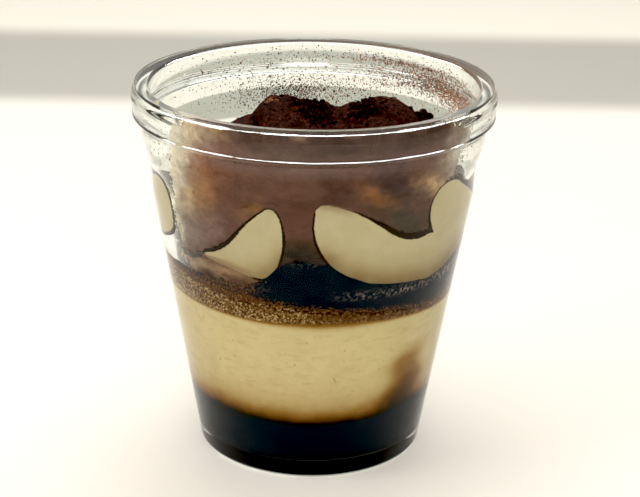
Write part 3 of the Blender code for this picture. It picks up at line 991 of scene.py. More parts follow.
# %% Cream under cocoa
def cocoa_dusted():
    material, tree, shader = new_material("cocoa_dusted_cream", 0.95)
    away, thin_line = number(tree, "away"), stretch(tree, number(tree, "line"), 0.16, 0.06)
    edge = frayed(tree, "away", 0.4 * MM, 0.25, 0.75, 0.2, "LINEAR")

    bare = ramp(tree, frayed(tree, "soaked", 3 * MM, 0.2, 0.8, 0.05, "LINEAR"),
                ((0.0, (214, 200, 162)), (0.25, (200, 182, 142)), (0.5, (160, 136, 98)),
                 (0.8, (94, 74, 50)), (1.0, (40, 32, 26))))
    mottle = patches(tree, 6 * MM, 0.4, 0.7, to_high=0.3, detail=2.0)
    no_line = weaker(tree, thin_line, stretch(tree, away, -2.2, -0.1))
    speck = weaker(tree, stretch(tree, cells(tree, 1.7 * MM).outputs["Distance"], 0.10, 0.05), 0.25)
    for share, tone in ((mottle, (200, 184, 142)), (no_line, (166, 138, 108)), (speck, (150, 120, 74))):
        bare = blend(tree, share, bare, tone)

    powder = ramp(tree, cloud(tree, 0.8 * MM, 5.0, 0.65),
                  ((0.30, (38, 32, 32)), (0.50, (52, 39, 37)), (0.64, (80, 49, 41)),
                   (0.78, (124, 76, 56))))
    damp = patches(tree, 5 * MM, 0.45, 0.7, to_high=0.8)
    # Beside a pressed patch the powder darkens: dark damp cocoa, and painted shade of the hollow where the
    # cream curves away from the glass.
    beside = stretch(tree, away, 2.5, 1.0)
    dry = patches(tree, 0.45 * MM, 0.4, 0.6, to_high=0.7)
    fringe = weaker(tree, number(tree, "fringe"), dry)
    thin = weaker(tree, beside, thin_line)
    for share, tone in ((damp, (42, 34, 33)), (beside, (50, 40, 32)), (fringe, (158, 108, 76)),
                        (thin, (160, 132, 104))):
        powder = blend(tree, share, powder, tone)

    colour = blend(tree, stretch(tree, edge, -0.03, 0.09), bare, powder)
    tree.links.new(stretch(tree, edge, 0.0, 0.1, 0.5, 0.92), shader.inputs["Roughness"])
    paint(tree, shader, colour, cloud(tree, 0.35 * MM, 5.0, 0.7), 0.12 * MM)
    return material

# %% The five spoonfuls
dusted = cocoa_dusted()
spoons = []
for order, (name, spoonful) in enumerate(SPOONFULS.items()):
    item = shaped_spoonful(name, spoonful, 3.1 + order * 5.7)
    spoons.append(dress(item, dusted, "cocoa_dusted_cream", name))

# %% [markdown]
# ## Cocoa on the glass
# Dusting a cup from above also coats the inside of its wall. At the front the coat is dense: a
# thin mauve-brown skin with rusty streaks where the powder lies thinner. It is modelled as a real
# skin, a grid bent to the wall and given a thickness, with the cells outside its ragged edge
# removed. Along a pressed patch it is held back from the glass, and that hollow shows as the dark
# line round each patch.

# %% Where the coat lies
COAT_OUTLINE = rounded_outline((
    (-34, 90.6), (-43, 90.4), (-50, 89), (-55, 85.5), (-58.5, 80), (-61, 74), (-62, 68), (-62, 62),
    (-62, 57), (-61, 53.6), (-54, 51.8), (-46, 51.3), (-38, 51.1), (-30, 51.2), (-24, 51.9),
    (-19, 53.6), (-13, 56.6), (-9, 57.6), (-4, 57.7), (1, 57.6), (6, 57.6), (14, 57.4), (34, 60),
    (46, 61.5), (51, 66), (52, 71), (56, 77), (59, 81), (60, 86), (56, 90), (30, 90.6), (10, 90.7),
    (-10, 90.7)))
CREASE_LINE = ((-57.5, 56.4), (-54, 56.0), (-49.5, 56.4), (-44.5, 57.8), (-43, 58.4))
CREASE_HALF = 0.42
COAT_BITE = 0.08
HELD_BACK = 0.6           # how far the coat keeps from the glass along a pressed patch
COAT_THICKNESS = 0.16
HIDDEN_INSIDE = 1.6       # so far inside a pressed patch the coat ends, behind the cream
COAT_SIDE, COAT_LOW, COAT_HIGH = 68.0, 51.0, 91.8
COAT_CELL = 0.34
RIM_CALM = 92.0           # the coat's edge is frayed less and less towards this height
POWDER_LEAST, POWDER_MOST = 0.1, 0.85
print(f"the coat's outline has {len(COAT_OUTLINE)} points, drawn at one in {SPLINE_STEPS}")

# %% Noise on the wall
def roughly(degrees, millimetres, size, seed):
    """Smooth noise on the unrolled wall, from -1 to 1."""
    spots = unrolled(degrees, millimetres) / size
    return np.array([noise.noise(Vector((x, y, seed))) for x, y in spots]) * 2

# %% [markdown]
# The colours of the coat are laid on like washes of paint: each is a soft spot on the wall, with
# its middle, its half sizes, its lean and its strength, over the mauve ground.
# Some washes are painted light: the near-white ones at the left paint a reflection on the glass, the
# orange ones there paint light shining through thin powder, and the dark ones along the front patch's
# crease paint shade.

# %% The coat's washes of colour
COAT_GROUND = (110, 83, 74)
COAT_WASHES_AND_PAINTED_LIGHT = (      # degrees, mm up, half degrees, half mm, lean, strength, colour
    # under the rim: dark brown in the middle, rusty and then pale at the left, the palest a painted
    # reflection
    (-18, 89, 12, 3.2, 0.0, 0.9, (66, 43, 34)), (8, 89, 15, 3.4, 0.0, 0.95, (58, 38, 31)),
    (35, 89, 14, 3.0, 0.0, 0.9, (56, 39, 32)), (-32, 88, 6, 3.0, 0.0, 0.6, (114, 68, 48)),
    (-42, 88.5, 5, 4.0, 0.0, 0.95, (222, 200, 172)), (-34, 90, 5, 1.6, 0.0, 0.8, (176, 146, 116)),
    (-54, 87, 7, 5.0, 0.0, 1.0, (240, 230, 210)),
    (26, 84.8, 26, 0.7, 0.0, 0.5, (58, 42, 34)), (0, 91.0, 40, 0.6, 0.0, 0.5, (150, 126, 104)),
    # the left side: near-white washes, a painted reflection on the glass; pale, golden and orange powder
    # towards the mauve, its orange partly painted light shining through it
    (-57, 80, 9, 7.0, 0.2, 1.0, (240, 228, 202)), (-46, 82.5, 4, 3.0, 0.4, 0.9, (232, 214, 190)),
    (-38, 80, 6, 6.0, 0.0, 0.9, (152, 102, 76)), (-30, 78, 6, 7.0, 0.0, 0.5, (124, 84, 64)),
    (-41, 74.5, 5, 5.0, 0.3, 0.9, (168, 122, 84)), (-48, 72, 4.5, 4.0, 0.3, 0.9, (196, 164, 124)),
    (-60, 70, 6.0, 9.0, 0.0, 1.0, (246, 236, 212)), (-50, 68, 5, 3.0, 0.3, 0.7, (196, 174, 146)),
    (-41, 69, 5, 3.0, 0.3, 0.5, (150, 120, 94)), (-50, 62.5, 8, 4.0, 0.3, 0.95, (146, 126, 122)),
    (-39, 64.5, 8, 3.5, 0.4, 0.85, (130, 106, 101)), (-61, 60, 5.5, 7.0, 0.0, 1.0, (242, 230, 208)),
    (-23, 72, 3, 2.0, 0.8, 0.7, (146, 110, 74)),
    # below the front patch
    (-36, 54.4, 14, 1.6, 0.0, 1.0, (160, 130, 102)), (-51, 54.6, 7, 1.6, 0.0, 0.9, (184, 162, 142)),
    (-24, 53.4, 5, 1.0, 0.0, 0.8, (132, 104, 78)),
    (-40, 51.4, 24, 1.3, 0.0, 1.0, (74, 52, 44)),
    # the dark crease that runs on from the tip of the front patch, painted shade where the coat is cut
    # open
    (-54.5, 56.4, 3.6, 0.8, 0.0, 0.8, (70, 52, 44)), (-48, 56.8, 4.0, 0.8, 0.25, 0.8, (60, 44, 36)),
    (-42, 58.8, 4.0, 0.8, 0.45, 0.7, (60, 44, 36)),
    # the middle and the right side
    (-20, 80, 10, 6.0, 0.0, 0.35, (112, 78, 64)), (-5, 72, 6, 8.0, 0.0, 0.5, (108, 74, 60)),
    (7, 78.5, 5, 3.5, 0.0, 0.75, (80, 57, 50)), (17, 80, 3, 4.0, 0.0, 0.4, (108, 76, 58)),
    (28, 79, 8, 5.5, -0.3, 0.95, (78, 61, 60)), (21, 76, 6, 1.5, -0.5, 0.9, (142, 98, 66)),
    (26.5, 73.6, 3.5, 1.2, -0.5, 0.9, (140, 98, 68)), (34, 74.8, 4, 0.8, 0.0, 0.6, (62, 48, 40)),
    (38, 83, 8, 3.0, 0.0, 0.5, (112, 80, 66)), (45.5, 76.2, 4.5, 2.2, -0.45, 1.0, (206, 170, 128)),
    (39, 78.2, 3.5, 1.4, -0.45, 0.6, (158, 122, 92)), (52, 80.5, 5, 4.0, 0.0, 0.85, (164, 144, 128)),
    (58, 84, 5, 7.0, 0.0, 0.95, (216, 208, 196)), (51, 87.5, 3, 4.0, 0.0, 0.8, (140, 122, 106)),
    (33, 68.5, 9, 4.0, -0.3, 1.0, (86, 80, 73)), (41, 66, 6, 2.6, 0.0, 0.8, (76, 70, 62)),
    (24, 71.5, 6, 1.6, -0.6, 0.6, (94, 73, 60)),
    # between the patches the coat turns brown, then grey-green and navy lower down, towards the soaked
    # layer
    (-4, 64.6, 9, 1.4, 0.0, 0.8, (80, 62, 50)), (-4, 61.6, 11, 2.2, 0.0, 1.0, (52, 52, 46)),
    (-3, 58.2, 14, 2.2, 0.0, 1.0, (28, 38, 44)),
    # two grains
    (-44.5, 73.1, 0.9, 0.5, 0.0, 0.8, (84, 50, 30)), (-25, 72.1, 0.9, 0.5, 0.0, 0.8, (70, 42, 30)),
)

# %% Lay the washes on
def washed_with_painted_light(degrees, millimetres, ground, washes):
    """The colour of the washes and of the painted light at places on the wall; each is smeared a little by
    noise.
    """
    double = millimetres * 2
    smear = roughly(degrees, millimetres, 5.0, 31.0) + 0.5 * roughly(degrees, millimetres, 1.6, 33.0)
    lift = roughly(degrees, double, 5.0, 37.0) + 0.4 * roughly(degrees, double, 1.4, 39.0)
    degrees, millimetres = degrees + 2.6 * smear, millimetres + 0.7 * lift
    colours = np.tile(seen(*ground), (len(degrees), 1))
    for at, up, half_at, half_up, lean, strength, colour in washes:
        side = (degrees - at) / half_at
        rise = (millimetres - up - lean * (degrees - at) * 0.6) / half_up
        share = (strength * np.exp(-side ** 2 - rise ** 2))[:, None]
        colours = colours * (1 - share) + np.array(seen(*colour)) * share
    return colours


print(f"{len(COAT_WASHES_AND_PAINTED_LIGHT)} washes over a ground of {COAT_GROUND}")

# %% [markdown]
# The powder thins out towards the coat's edge: each point of the grid gets a seeded random number,
# and the ones that are too weak for their place are deleted. A Solidify modifier then gives the
# skin its thickness.

# %% Make the coat
coat_numbers = np.random.default_rng(5)


def fade_width(degrees):
    """Over how many millimetres the coat's powder thins out: far at the left, little elsewhere."""
    return 0.6 + 2.4 * share_of(-degrees, 52, 6) + 1.0 * share_of(degrees, 46, 8)


def coat_on_glass():
    nothing_selected()
    width = math.radians(2 * COAT_SIDE) * WALL_RADIUS
    columns, rows = int(width / COAT_CELL), int((COAT_HIGH - COAT_LOW) / COAT_CELL)
    bpy.ops.mesh.primitive_grid_add(x_subdivisions=columns, y_subdivisions=rows, size=2.0)
    item = just_added("cocoa_coat_on_glass")
    flat = points_of(item)
    degrees = flat[:, 0] * COAT_SIDE
    up = COAT_LOW + (flat[:, 1] + 1) / 2 * (COAT_HIGH - COAT_LOW)
    edge, _ = from_outline(COAT_OUTLINE, degrees, up)
    calm = np.clip((RIM_CALM - up) / 8, 0.12, 1)
    edge += calm * (0.9 * roughly(degrees, up, 2.2, 4.0) + 0.5 * roughly(degrees, up, 0.8, 9.0))
    powder = coat_numbers.uniform(POWDER_LEAST, POWDER_MOST, len(edge))
    powder += 0.4 * roughly(degrees, up, 0.9, 14.0)
    gone = np.clip(powder, 0.02, 0.98) > np.clip(-edge / fade_width(degrees), 0, 1)
    away, line = from_touch(degrees, up)
    uneven_line = 0.9 + 0.35 * roughly(degrees, up, 1.2, 2.0) + 0.3 * roughly(degrees, up, 0.5, 5.0)
    line = line * LINE_KEPT * uneven_line
    held_back = np.clip((line - away) / 0.15 + 0.5, 0, 1)
    across = inner_radius(up * MM) + (COAT_BITE - HELD_BACK * held_back) * MM
    move_points(item, round_the_cup(np.radians(degrees), across, up * MM))
    keep_colour(item, "wash_and_painted_light", washed_with_painted_light(degrees, up, COAT_GROUND, COAT_WASHES_AND_PAINTED_LIGHT))

    crease, _ = from_outline(np.array(CREASE_LINE + CREASE_LINE[::-1]), degrees, up)
    crease_half = CREASE_HALF + 0.25 * roughly(degrees, up, 0.7, 6.0)
    hidden = (away < -HIDDEN_INSIDE) | (np.abs(crease) < crease_half)
    bpy.ops.object.mode_set(mode="EDIT")
    bpy.ops.mesh.select_all(action="DESELECT")
    stop_editing()
    item.data.vertices.foreach_set("select", gone | hidden)
    bpy.ops.object.mode_set(mode="EDIT")
    bpy.ops.mesh.select_mode(type="VERT")
    bpy.ops.mesh.delete(type="VERT")
    bpy.ops.mesh.select_all(action="SELECT")
    bpy.ops.mesh.delete_loose()
    stop_editing()
    thick = item.modifiers.new("skin", "SOLIDIFY")
    thick.thickness = COAT_THICKNESS * MM
    thick.offset = -1.0
    bpy.ops.object.modifier_apply(modifier=thick.name)
    smooth(item, 60)
    return item

# %% The coat's finish
def cocoa_coat():
    material, tree, shader = new_material("cocoa_and_painted_light_on_glass", 0.8)
    wash_and_painted_light = colour_of(tree, "wash_and_painted_light")
    smears = patches(tree, 5 * MM, 0.3, 0.7, 0.78, 1.22, "LINEAR", detail=6.0, roughness=0.62,
                     distortion=0.6, squeeze=(1, 1, 2))
    grains = patches(tree, 0.34 * MM, 0.3, 0.7, 0.8, 1.2, "LINEAR", roughness=0.7)
    tone = maths(tree, "MULTIPLY", smears, grains)
    toned = add(tree, "VectorMath", {0: wash_and_painted_light, "Scale": tone}, operation="SCALE").outputs[0]
    rusty = patches(tree, 2.2 * MM, 0.52, 0.75, to_high=0.2, detail=5.0, roughness=0.65,
                    distortion=0.8)
    paint(tree, shader, blend(tree, rusty, toned, (146, 104, 78)))
    return material


coat = coat_on_glass()
dress(coat, cocoa_coat(), "cocoa_crumbs")

# %% [markdown]
# ## The heap of cocoa on top
# So much cocoa was sifted on that it fills the valleys between the spoonfuls and makes one dark,
# ridged hill. Its crest is drawn as a line of heights from left to right; it falls away towards
# the viewer, the back and the wall. A grid is bent into that hill, given relief in four sizes and
# closed with a floor that lies hidden inside the cream.

# %% The hill's shape
CREST = ((-30, 70), (-24, 75), (-19, 78), (-15.5, 79.2), (-13.6, 80.2), (-12.4, 84.2), (-11, 85.5),
         (-6.5, 85.6), (-4, 84.4), (-1, 84.2), (2.5, 84.0), (5, 82.8), (7.5, 82.9), (9.6, 83.7),
         (11.5, 84.3), (13.5, 85.4), (17, 85.7), (20.0, 85.2), (21.6, 83.4), (22.8, 79.6),
         (24.0, 78.0), (25.2, 79.5), (26.2, 83.2), (28.5, 83.6), (30.6, 82.8), (32.2, 80.5), (34, 76))
CREST_AT = 8.5            # how far behind the middle the crest runs, in millimetres
FRONT_FALL = 0.47
BACK_FALL = 0.06
HILL_RADIUS, HILL_EDGE_FALL = 21.0, 0.07
HILL_LOW, HILL_TOP = 58.0, 86.2
HILL_MIDDLE, HILL_HALF = (4, 5), (29, 25)         # of the grid, across and deep, in millimetres
HILL_DEPTH, HILL_BOTTOM = 3, 68.0                 # its hidden floor: under the top, and no higher
HILL_RIDGES = ((6.0, 1.0), (2.6, 0.5), (1.1, 0.2), (0.5, 0.12))


def hill_height(x, y):
    """The hill's height at places on it, all in millimetres."""
    crest = drawn_line(x, CREST)
    forward = np.maximum(CREST_AT - y, 0)
    behind = np.maximum(y - CREST_AT - 1.5, 0)
    from_middle = np.hypot(x - MEETING[0] / MM, y - MEETING[1] / MM)
    edge = np.maximum(from_middle - HILL_RADIUS, 0)
    return crest - FRONT_FALL * forward - BACK_FALL * behind ** 2 - HILL_EDGE_FALL * edge ** 2


def hill():
    nothing_selected()
    steps = 190
    bpy.ops.mesh.primitive_grid_add(x_subdivisions=steps, y_subdivisions=steps, size=2.0)
    item = just_added("cocoa_hill")
    edit_all()
    bpy.ops.mesh.extrude_region_move(TRANSFORM_OT_translate={"value": (0, 0, -1)})
    bpy.ops.mesh.select_all(action="SELECT")
    bpy.ops.mesh.normals_make_consistent(inside=False)
    stop_editing()
    points = points_of(item)
    x, y = (HILL_MIDDLE + points[:, :2] * HILL_HALF).T
    top = hill_height(x, y)
    spots = np.stack([x, y, top], 1) * MM
    top += roughness_of(spots, HILL_RIDGES, 21.0)
    ridged = 1 - 2 * np.abs(roughness_of(spots * (1, 1.8, 0.2), ((3.4, 1.0),), 40.0))
    top = np.clip(top + 0.35 * ridged, HILL_LOW, HILL_TOP)
    up = np.where(points[:, 2] < -0.5, np.minimum(top - HILL_DEPTH, HILL_BOTTOM), top)
    reach = (inner_radius(up * MM) / MM - 1.2) / np.maximum(np.hypot(x, y), 1)
    inwards = np.minimum(reach, 1)
    move_points(item, np.stack([x * inwards, y * inwards, up], 1) * MM)
    keep_number(item, "away", np.full(len(points), 5.0))
    keep_number(item, "soaked", np.zeros(len(points)))
    lobes = np.clip(bell(x, -9.5, 3.4) + bell(x, 17, 3.8), 0, 1)
    keep_number(item, "fringe", lobes * bell(y - CREST_AT, 0.4, 1.3))
    smooth(item, 70)
    return item


heap = hill()
dress(heap, dusted, "cocoa_dusted_cream")

# %% [markdown]
# ## Crumbs and specks
# Loose bits are modelled once as a few small grains: a ball or a block, jittered by the random
# transform. Copies are then turned, scaled and set down, and joined into one piece for each kind.
# The grains have only a few faces, because there are thousands of them. Where they go is drawn
# from a seeded generator, so that every run scatters them alike.

# %% Grains to copy
random_numbers = np.random.default_rng(11)


def grain(seed, jitter, chip=False):
    """The corners and faces of one small rough grain, about 2 across; a chip has fewer faces."""
    nothing_selected()
    if chip:
        bpy.ops.mesh.primitive_cube_add(size=1.6)
    else:
        bpy.ops.mesh.primitive_ico_sphere_add(subdivisions=2, radius=1.0)
    item = just_added("grain")
    edit_all()
    bpy.ops.transform.vertex_random(offset=jitter, uniform=0.0, normal=0.0, seed=seed)
    stop_editing()
    corners = points_of(item).copy()
    faces = np.array([list(face.vertices) for face in item.data.polygons])
    bpy.data.objects.remove(item)
    return corners, faces

# %% Copies joined into one piece
def scattered(name, grains, places, normals, sizes):
    """One mesh of copies: places and normals are rows, sizes are half widths across and along."""
    all_corners, all_faces, owners, start = [], [], [], 0
    for index, (spot, normal, size) in enumerate(zip(places, normals, sizes)):
        corners, faces = grains[index % len(grains)]
        normal = normal / np.linalg.norm(normal)
        side = np.cross(normal, (0.3, 0.2, 1.0) if abs(normal[2]) < 0.9 else (1.0, 0.0, 0.0))
        side /= np.linalg.norm(side)
        turn = random_numbers.uniform(0, 2 * math.pi)
        first = side * math.cos(turn) + np.cross(normal, side) * math.sin(turn)
        axes = np.stack([first, np.cross(normal, first), normal])
        all_corners.append(spot + (corners * (size[0], size[1], size[2])) @ axes)
        all_faces.append(faces + start)
        owners.append(np.full(len(corners), index))
        start += len(corners)
    mesh = bpy.data.meshes.new(name)
    mesh.from_pydata(np.concatenate(all_corners).tolist(), [], np.concatenate(all_faces).tolist())
    item = bpy.data.objects.new(name, mesh)
    bpy.context.scene.collection.objects.link(item)
    smooth(item)
    return item, np.concatenate(owners)

# %% [markdown]
# ### Black crumbs on the hill
# The moist cocoa clots into crumbs of about a millimetre. They are dropped from above: a ray finds
# the highest surface under each place, and the crumb sinks a little into it.

# %% Crumbs
CLUSTERS = (      # middle x and y, spread x and y, how many, half size: millimetres
    (-0.6, 6.6, 1.7, 1.8, 110, 0.62), (1.5, 4.0, 1.6, 1.6, 36, 0.45), (9.6, 8.0, 0.7, 0.9, 12, 0.5),
    (12.8, 6.0, 1.5, 1.8, 90, 0.55), (16.5, 8.0, 1.2, 0.8, 20, 0.45), (28.4, 6.8, 1.5, 1.6, 70, 0.62),
    (-17.0, 4.5, 2.0, 1.4, 40, 0.45), (-14.5, 5.5, 0.9, 1.4, 20, 0.42), (-8.0, 4.0, 2.5, 3.0, 16, 0.30),
    (20.0, 3.0, 3.0, 3.0, 18, 0.30), (2.0, -4.0, 14.0, 7.0, 90, 0.34), (2.0, 18.0, 13.0, 6.0, 120, 0.4),
)
LOWEST_CRUMB, HIGHEST_CRUMB, HIGHEST_TRIED = 70 * MM, 86.3 * MM, 87.2 * MM
CLEAR_OF_WALL = 1.5 * MM

# %% Find the surface and set the crumbs down
def surface_below(items):
    """A function that finds the highest surface of these pieces under a place."""
    trees = []
    for item in items:
        faces = [tuple(face.vertices) for face in item.data.polygons]
        trees.append(BVHTree.FromPolygons([tuple(point) for point in points_of(item)], faces))

    def height_at(x, y):
        hits = [tree.ray_cast(Vector((x, y, CUP_HEIGHT)), Vector((0, 0, -1))) for tree in trees]
        hits = [(hit[0].z, hit[1]) for hit in hits if hit[0] is not None]
        return max(hits, key=lambda hit: hit[0]) if hits else (0.0, Vector((0, 0, 1)))
    return height_at


def black_crumb():
    material, tree, shader = new_material("black_crumb", 0.95)
    colour = ramp(tree, cloud(tree, 0.7 * MM, 4.0),
                  ((0.35, (34, 30, 30)), (0.55, (44, 36, 34)), (0.75, (76, 50, 42))))
    paint(tree, shader, colour, cloud(tree, 0.3 * MM, 4.0), 0.1 * MM)
    return material


height_at = surface_below(spoons + [heap])
places, normals, sizes = [], [], []
for x, y, spread_x, spread_y, count, half in CLUSTERS:
    for _ in range(count):
        spot = np.array((random_numbers.normal(x, spread_x), random_numbers.normal(y, spread_y))) * MM
        up, normal = height_at(*spot)
        size = half * MM * random_numbers.uniform(0.5, 1.35)
        beside_wall = np.hypot(*spot) > inner_radius(up) - CLEAR_OF_WALL
        if up < LOWEST_CRUMB or beside_wall or up + size > HIGHEST_TRIED:
            continue
        places.append((*spot, min(up + size * 0.25, HIGHEST_CRUMB - size)))
        normals.append(tuple(normal + Vector((0, 0, 0.5))))
        flatter = random_numbers.uniform(0.6, 1.0), random_numbers.uniform(0.5, 0.9)
        sizes.append(size * np.array((1.0, *flatter)))
crumb_grains = [grain(seed, 0.45) for seed in (3, 8, 14, 21)]
crumbs, _ = scattered("cocoa_crumbs_on_top", crumb_grains, np.array(places), np.array(normals), sizes)
dress(crumbs, black_crumb(), "cocoa_crumbs")

# %% [markdown]
# ### Specks on the glass
# Finer dust sticks to the wall all round. Beside the coat the specks lie close together and thin
# out over a few millimetres, so that the coat fades instead of ending; on the far wall they are
# sparse, with a denser, redder cloud on one side.

# %% Specks on the glass
FADE_LEFT, FADE_ELSEWHERE = 2.6, 0.9      # millimetres over which the specks thin out
SPECK_BITE = SPECK_THICKNESS = 0.05 * MM
COAT_SPECK_SIDES, COAT_SPECK_HEIGHTS, COAT_SPECK_HALF = (-66, 60), (52, 91.5), 0.13
NO_SPECKS_LEFT_OF = -50                   # the painted reflection there stays clean
CLOUD_LOW, CLOUD_HIGH = 74, 91.4
NEAR_SIDE, TAN_FROM, TAN_TO = 66, 95, 185         # degrees: where the specks' colour changes
TAN_DUST, BROWN_DUST = (158, 112, 82), (108, 78, 62)
DUST_CLOUDS = (      # degrees, mm up, spread degrees, spread mm, how many, half size mm
    (180, 82, 70, 5.0, 900, 0.12), (128, 85.2, 17, 1.5, 4400, 0.105), (112, 83, 9, 2.4, 1800, 0.1),
    (165, 80, 16, 2.4, 500, 0.13), (-150, 86, 14, 2.2, 160, 0.15), (-60, 83, 14, 4.5, 200, 0.08),
    (68, 83, 12, 4.5, 200, 0.08), (150, 89.6, 16, 0.9, 160, 0.12), (-172, 88.5, 26, 1.5, 140, 0.13),
    (-165, 80, 12, 2.0, 1200, 0.1), (142, 88.6, 16, 0.5, 900, 0.11), (-176, 79, 10, 2.5, 1200, 0.1),
)


def wall_normal(degrees):
    turn = np.radians(degrees)
    return np.stack([-np.sin(turn), np.cos(turn), np.full_like(turn, INNER_TAPER)], 1)


def wall_spot(degrees, up, offset):
    return round_the_cup(np.radians(degrees), inner_radius(up * MM) + offset, up * MM)

# %% Scatter the specks
tries = 26000
degrees = random_numbers.uniform(*COAT_SPECK_SIDES, tries)
up = random_numbers.uniform(*COAT_SPECK_HEIGHTS, tries)
edge, _ = from_outline(COAT_OUTLINE, degrees, up)
away, line = from_touch(degrees, up)
fade = np.where((degrees < -20) & (up > 57), FADE_LEFT, FADE_ELSEWHERE)
kept = random_numbers.uniform(0, 1, tries) < np.exp(-np.maximum(edge - 0.3, 0) / fade)
kept &= (edge > -1.2) & (away > line * LINE_KEPT)
kept &= (up > 53.5 + 0.02 * np.abs(degrees)) & (degrees > NO_SPECKS_LEFT_OF)
degrees, up = degrees[kept], up[kept]
half = np.full(len(up), COAT_SPECK_HALF)
for at, height_mm, spread, spread_mm, count, size in DUST_CLOUDS:
    degrees = np.append(degrees, random_numbers.normal(at, spread, count))
    up = np.append(up, random_numbers.normal(height_mm, spread_mm, count))
    half = np.append(half, np.full(count, size))
fits = (up > CLOUD_LOW) & (up < CLOUD_HIGH) | (np.arange(len(up)) < kept.sum())
degrees, up, half = degrees[fits], up[fits], half[fits]
half = half * MM * random_numbers.lognormal(0.0, 0.35, len(half)).clip(0.4, 2.2)
narrower = half * random_numbers.uniform(0.6, 1.0, len(half))
sizes = np.stack([half, narrower, np.full(len(half), SPECK_THICKNESS)], 1)
speck_grains = [grain(seed, 0.35, chip=True) for seed in (5, 9, 17)]
specks, owners = scattered("cocoa_specks_on_glass", speck_grains, wall_spot(degrees, up, SPECK_BITE),
                           wall_normal(degrees), sizes)
print(f"{len(sizes)} specks, {kept.sum()} of them beside the coat")

# %% [markdown]
# A speck beside the coat takes the coat's colour at its place; elsewhere it is brown, or tan in
# the cloud at the back. Each is a little lighter or darker than its neighbours.

# %% The specks' colours
near = (np.abs(degrees) < NEAR_SIDE)[:, None]
tan = ((degrees > TAN_FROM) & (degrees < TAN_TO))[:, None]
tone = np.where(tan, np.array(seen(*TAN_DUST)), np.array(seen(*BROWN_DUST)))
tone = np.where(near, washed_with_painted_light(degrees, up, COAT_GROUND, COAT_WASHES_AND_PAINTED_LIGHT), tone)
spread = random_numbers.uniform(0, 1, len(tone))[:, None]
tone = tone * np.where(near, 0.75 + 0.5 * spread, 0.35 + 1.15 * spread)
keep_colour(specks, "wash_and_painted_light", tone[owners])
dress(specks, cocoa_coat(), "cocoa_crumbs")

# %% [markdown]
# ## The floor
# A plain pale floor, with one calm grey band of painted shade across it behind the cup. It is a large
# disc, so that it has no edge in any view, and the band is a step in its colour.

# %% Floor
FLOOR_RADIUS = 3.0
PAINTED_SHADE_START, PAINTED_SHADE_END = (0.295, 0.325), (0.415, 0.450)      # metres behind the cup

bpy.ops.mesh.primitive_circle_add(vertices=96, radius=FLOOR_RADIUS, fill_type="NGON", location=(0, 0, 0))
floor = bpy.context.object
floor.name = "floor"
floor_paint, tree, shader = new_material("pale_floor", 0.9)
behind_cup = add(tree, "SeparateXYZ", {0: place(tree)}).outputs["Y"]
# painted shade: the floor turns grey in a band behind the cup, and pale again beyond it
colour = blend(tree, stretch(tree, behind_cup, *PAINTED_SHADE_START), (222, 217, 211), (171, 170, 163))
colour = blend(tree, stretch(tree, behind_cup, *PAINTED_SHADE_END), colour, (222, 217, 208))
paint(tree, shader, colour)
floor.data.materials.append(floor_paint)
print(f"floor {2 * FLOOR_RADIUS:.0f} m wide")

# %% [markdown]
# ## The surroundings
# Clear glass shows what stands round it. The surroundings are bright behind and above, calmer in
# front and darkest at the far left and right, which draws fine dark lines along the glass's edges.

# %% Surroundings
SURROUNDINGS = (254, 251, 243)
IN_FRONT, BEHIND, SIDES = 0.82, 0.97, 0.45            # how bright they are there

world = bpy.data.worlds.new("studio")
bpy.context.scene.world = world
world.use_nodes = True
tree = world.node_tree
parts = add(tree, "SeparateXYZ", {0: add(tree, "TexCoord").outputs["Generated"]})
behind = stretch(tree, parts.outputs["Y"], -0.9, 0.5, IN_FRONT, BEHIND)
beside = stretch(tree, maths(tree, "ABSOLUTE", parts.outputs["X"]), 0.8, 1.0, 1.0, SIDES)
tree.links.new(maths(tree, "MULTIPLY", behind, beside), tree.nodes["Background"].inputs["Strength"])
tree.nodes["Background"].inputs["Color"].default_value = (*seen(*SURROUNDINGS), 1.0)
print("surroundings:", IN_FRONT, "in front,", BEHIND, "behind,", SIDES, "at the sides")

# %% [markdown]
# ## The lamps
# Three large soft lamps light the cup, and one of them leaves no mirror image. Seven more stand in
# a half ring, only for their shine: each mirrors as a bright dash in the bead and the rim, and
# together the dashes run round the neck as one white line. Diffuse surfaces don't see them.

# %% Lamps
LAMP_COLOUR = (255, 253, 251)
SHINE_SIDES = (-120, -80, -40, 0, 40, 80, 120)        # degrees round the cup
SHINE_AWAY, SHINE_WIDE, SHINE_HIGH, SHINE_WATTS = 400, 330, 120, 5.5
SHINE_HEIGHTS = ((40, 580), (80, 400), (120, 330))    # the further round, the lower


def soft_light(name, place_mm, aim_mm, size_mm, watts):
    lamp = bpy.data.lights.new(name, "AREA")
    lamp.shape = "DISK"
    lamp.size = size_mm * MM
    lamp.energy = watts
    lamp.color = seen(*LAMP_COLOUR)
    item = bpy.data.objects.new(name, lamp)
    bpy.context.scene.collection.objects.link(item)
    start, aim = Vector(place_mm) * MM, Vector(aim_mm) * MM
    item.location = start
    item.rotation_euler = (aim - start).to_track_quat("-Z", "Y").to_euler()
    return item


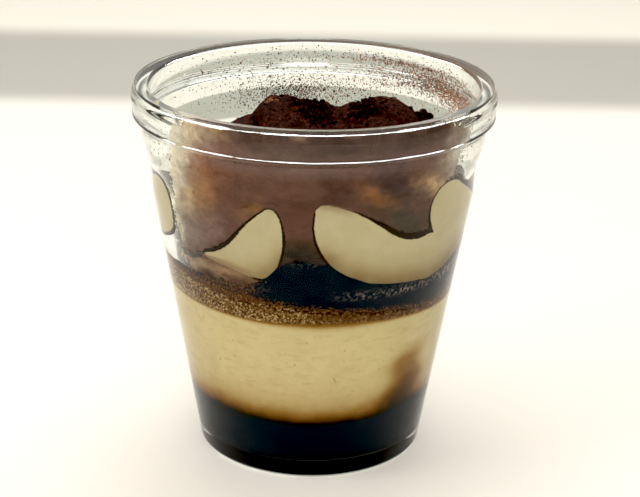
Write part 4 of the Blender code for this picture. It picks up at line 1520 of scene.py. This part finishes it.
soft_light("overhead", (10, 250, 620), (0, 20, 40), 520, 2.6)
soft_light("from_the_left", (-520, -160, 420), (0, 0, 40), 360, 1.3)
front = soft_light("from_the_front", (60, -620, 300), (0, 0, 40), 420, 1.5)
front.visible_glossy = False
for order, side in enumerate(SHINE_SIDES):
    start = outwards(side) * SHINE_AWAY + (0, 0, drawn_line(abs(side), SHINE_HEIGHTS))
    shine = soft_light(f"shine_{order}", tuple(start), (0, 0, 85), SHINE_WIDE, SHINE_WATTS)
    shine.data.shape, shine.data.size_y = "RECTANGLE", SHINE_HIGH * MM
    shine.data.cycles.max_bounces = 1
    shine.visible_diffuse = shine.visible_transmission = shine.visible_camera = False
print(len(bpy.data.lights), "lamps")

# %% [markdown]
# ## The camera
# A long lens stands a little above the rim and looks down into the mouth, leaning slightly. A
# curve with a raised black point deepens the darkest cocoa and coffee, as a camera would.

# %% Camera
BLACK_POINT = 0.02
SENSOR = 36.0
LENS = 101.18
CAMERA_PLACE = (0.0, -418.77, 204.06)
LOOKS_DOWN, LOOKS_RIGHT, LEANS = math.radians(20.244), math.radians(0.269), math.radians(0.950)

lens = bpy.data.cameras.new("camera")
lens.lens = LENS
lens.sensor_width = SENSOR
camera = bpy.data.objects.new("camera", lens)
bpy.context.scene.collection.objects.link(camera)
ahead = Vector((math.sin(LOOKS_RIGHT) * math.cos(LOOKS_DOWN),
                math.cos(LOOKS_RIGHT) * math.cos(LOOKS_DOWN), -math.sin(LOOKS_DOWN)))
right = Vector((math.cos(LOOKS_RIGHT), -math.sin(LOOKS_RIGHT), 0.0))
above = right.cross(ahead)
leaned_right = right * math.cos(LEANS) + above * math.sin(LEANS)
leaned_above = above * math.cos(LEANS) - right * math.sin(LEANS)
turned = Matrix((leaned_right, leaned_above, -ahead)).transposed().to_4x4()
camera.matrix_world = Matrix.Translation(Vector(CAMERA_PLACE) * MM) @ turned
bpy.context.scene.camera = camera
look = bpy.context.scene.view_settings
look.view_transform = "Standard"
look.use_curve_mapping = True
look.curve_mapping.black_level = (BLACK_POINT,) * 3
look.curve_mapping.update()
print(f"a {LENS:.0f} mm lens, looking down {math.degrees(LOOKS_DOWN):.1f} degrees")
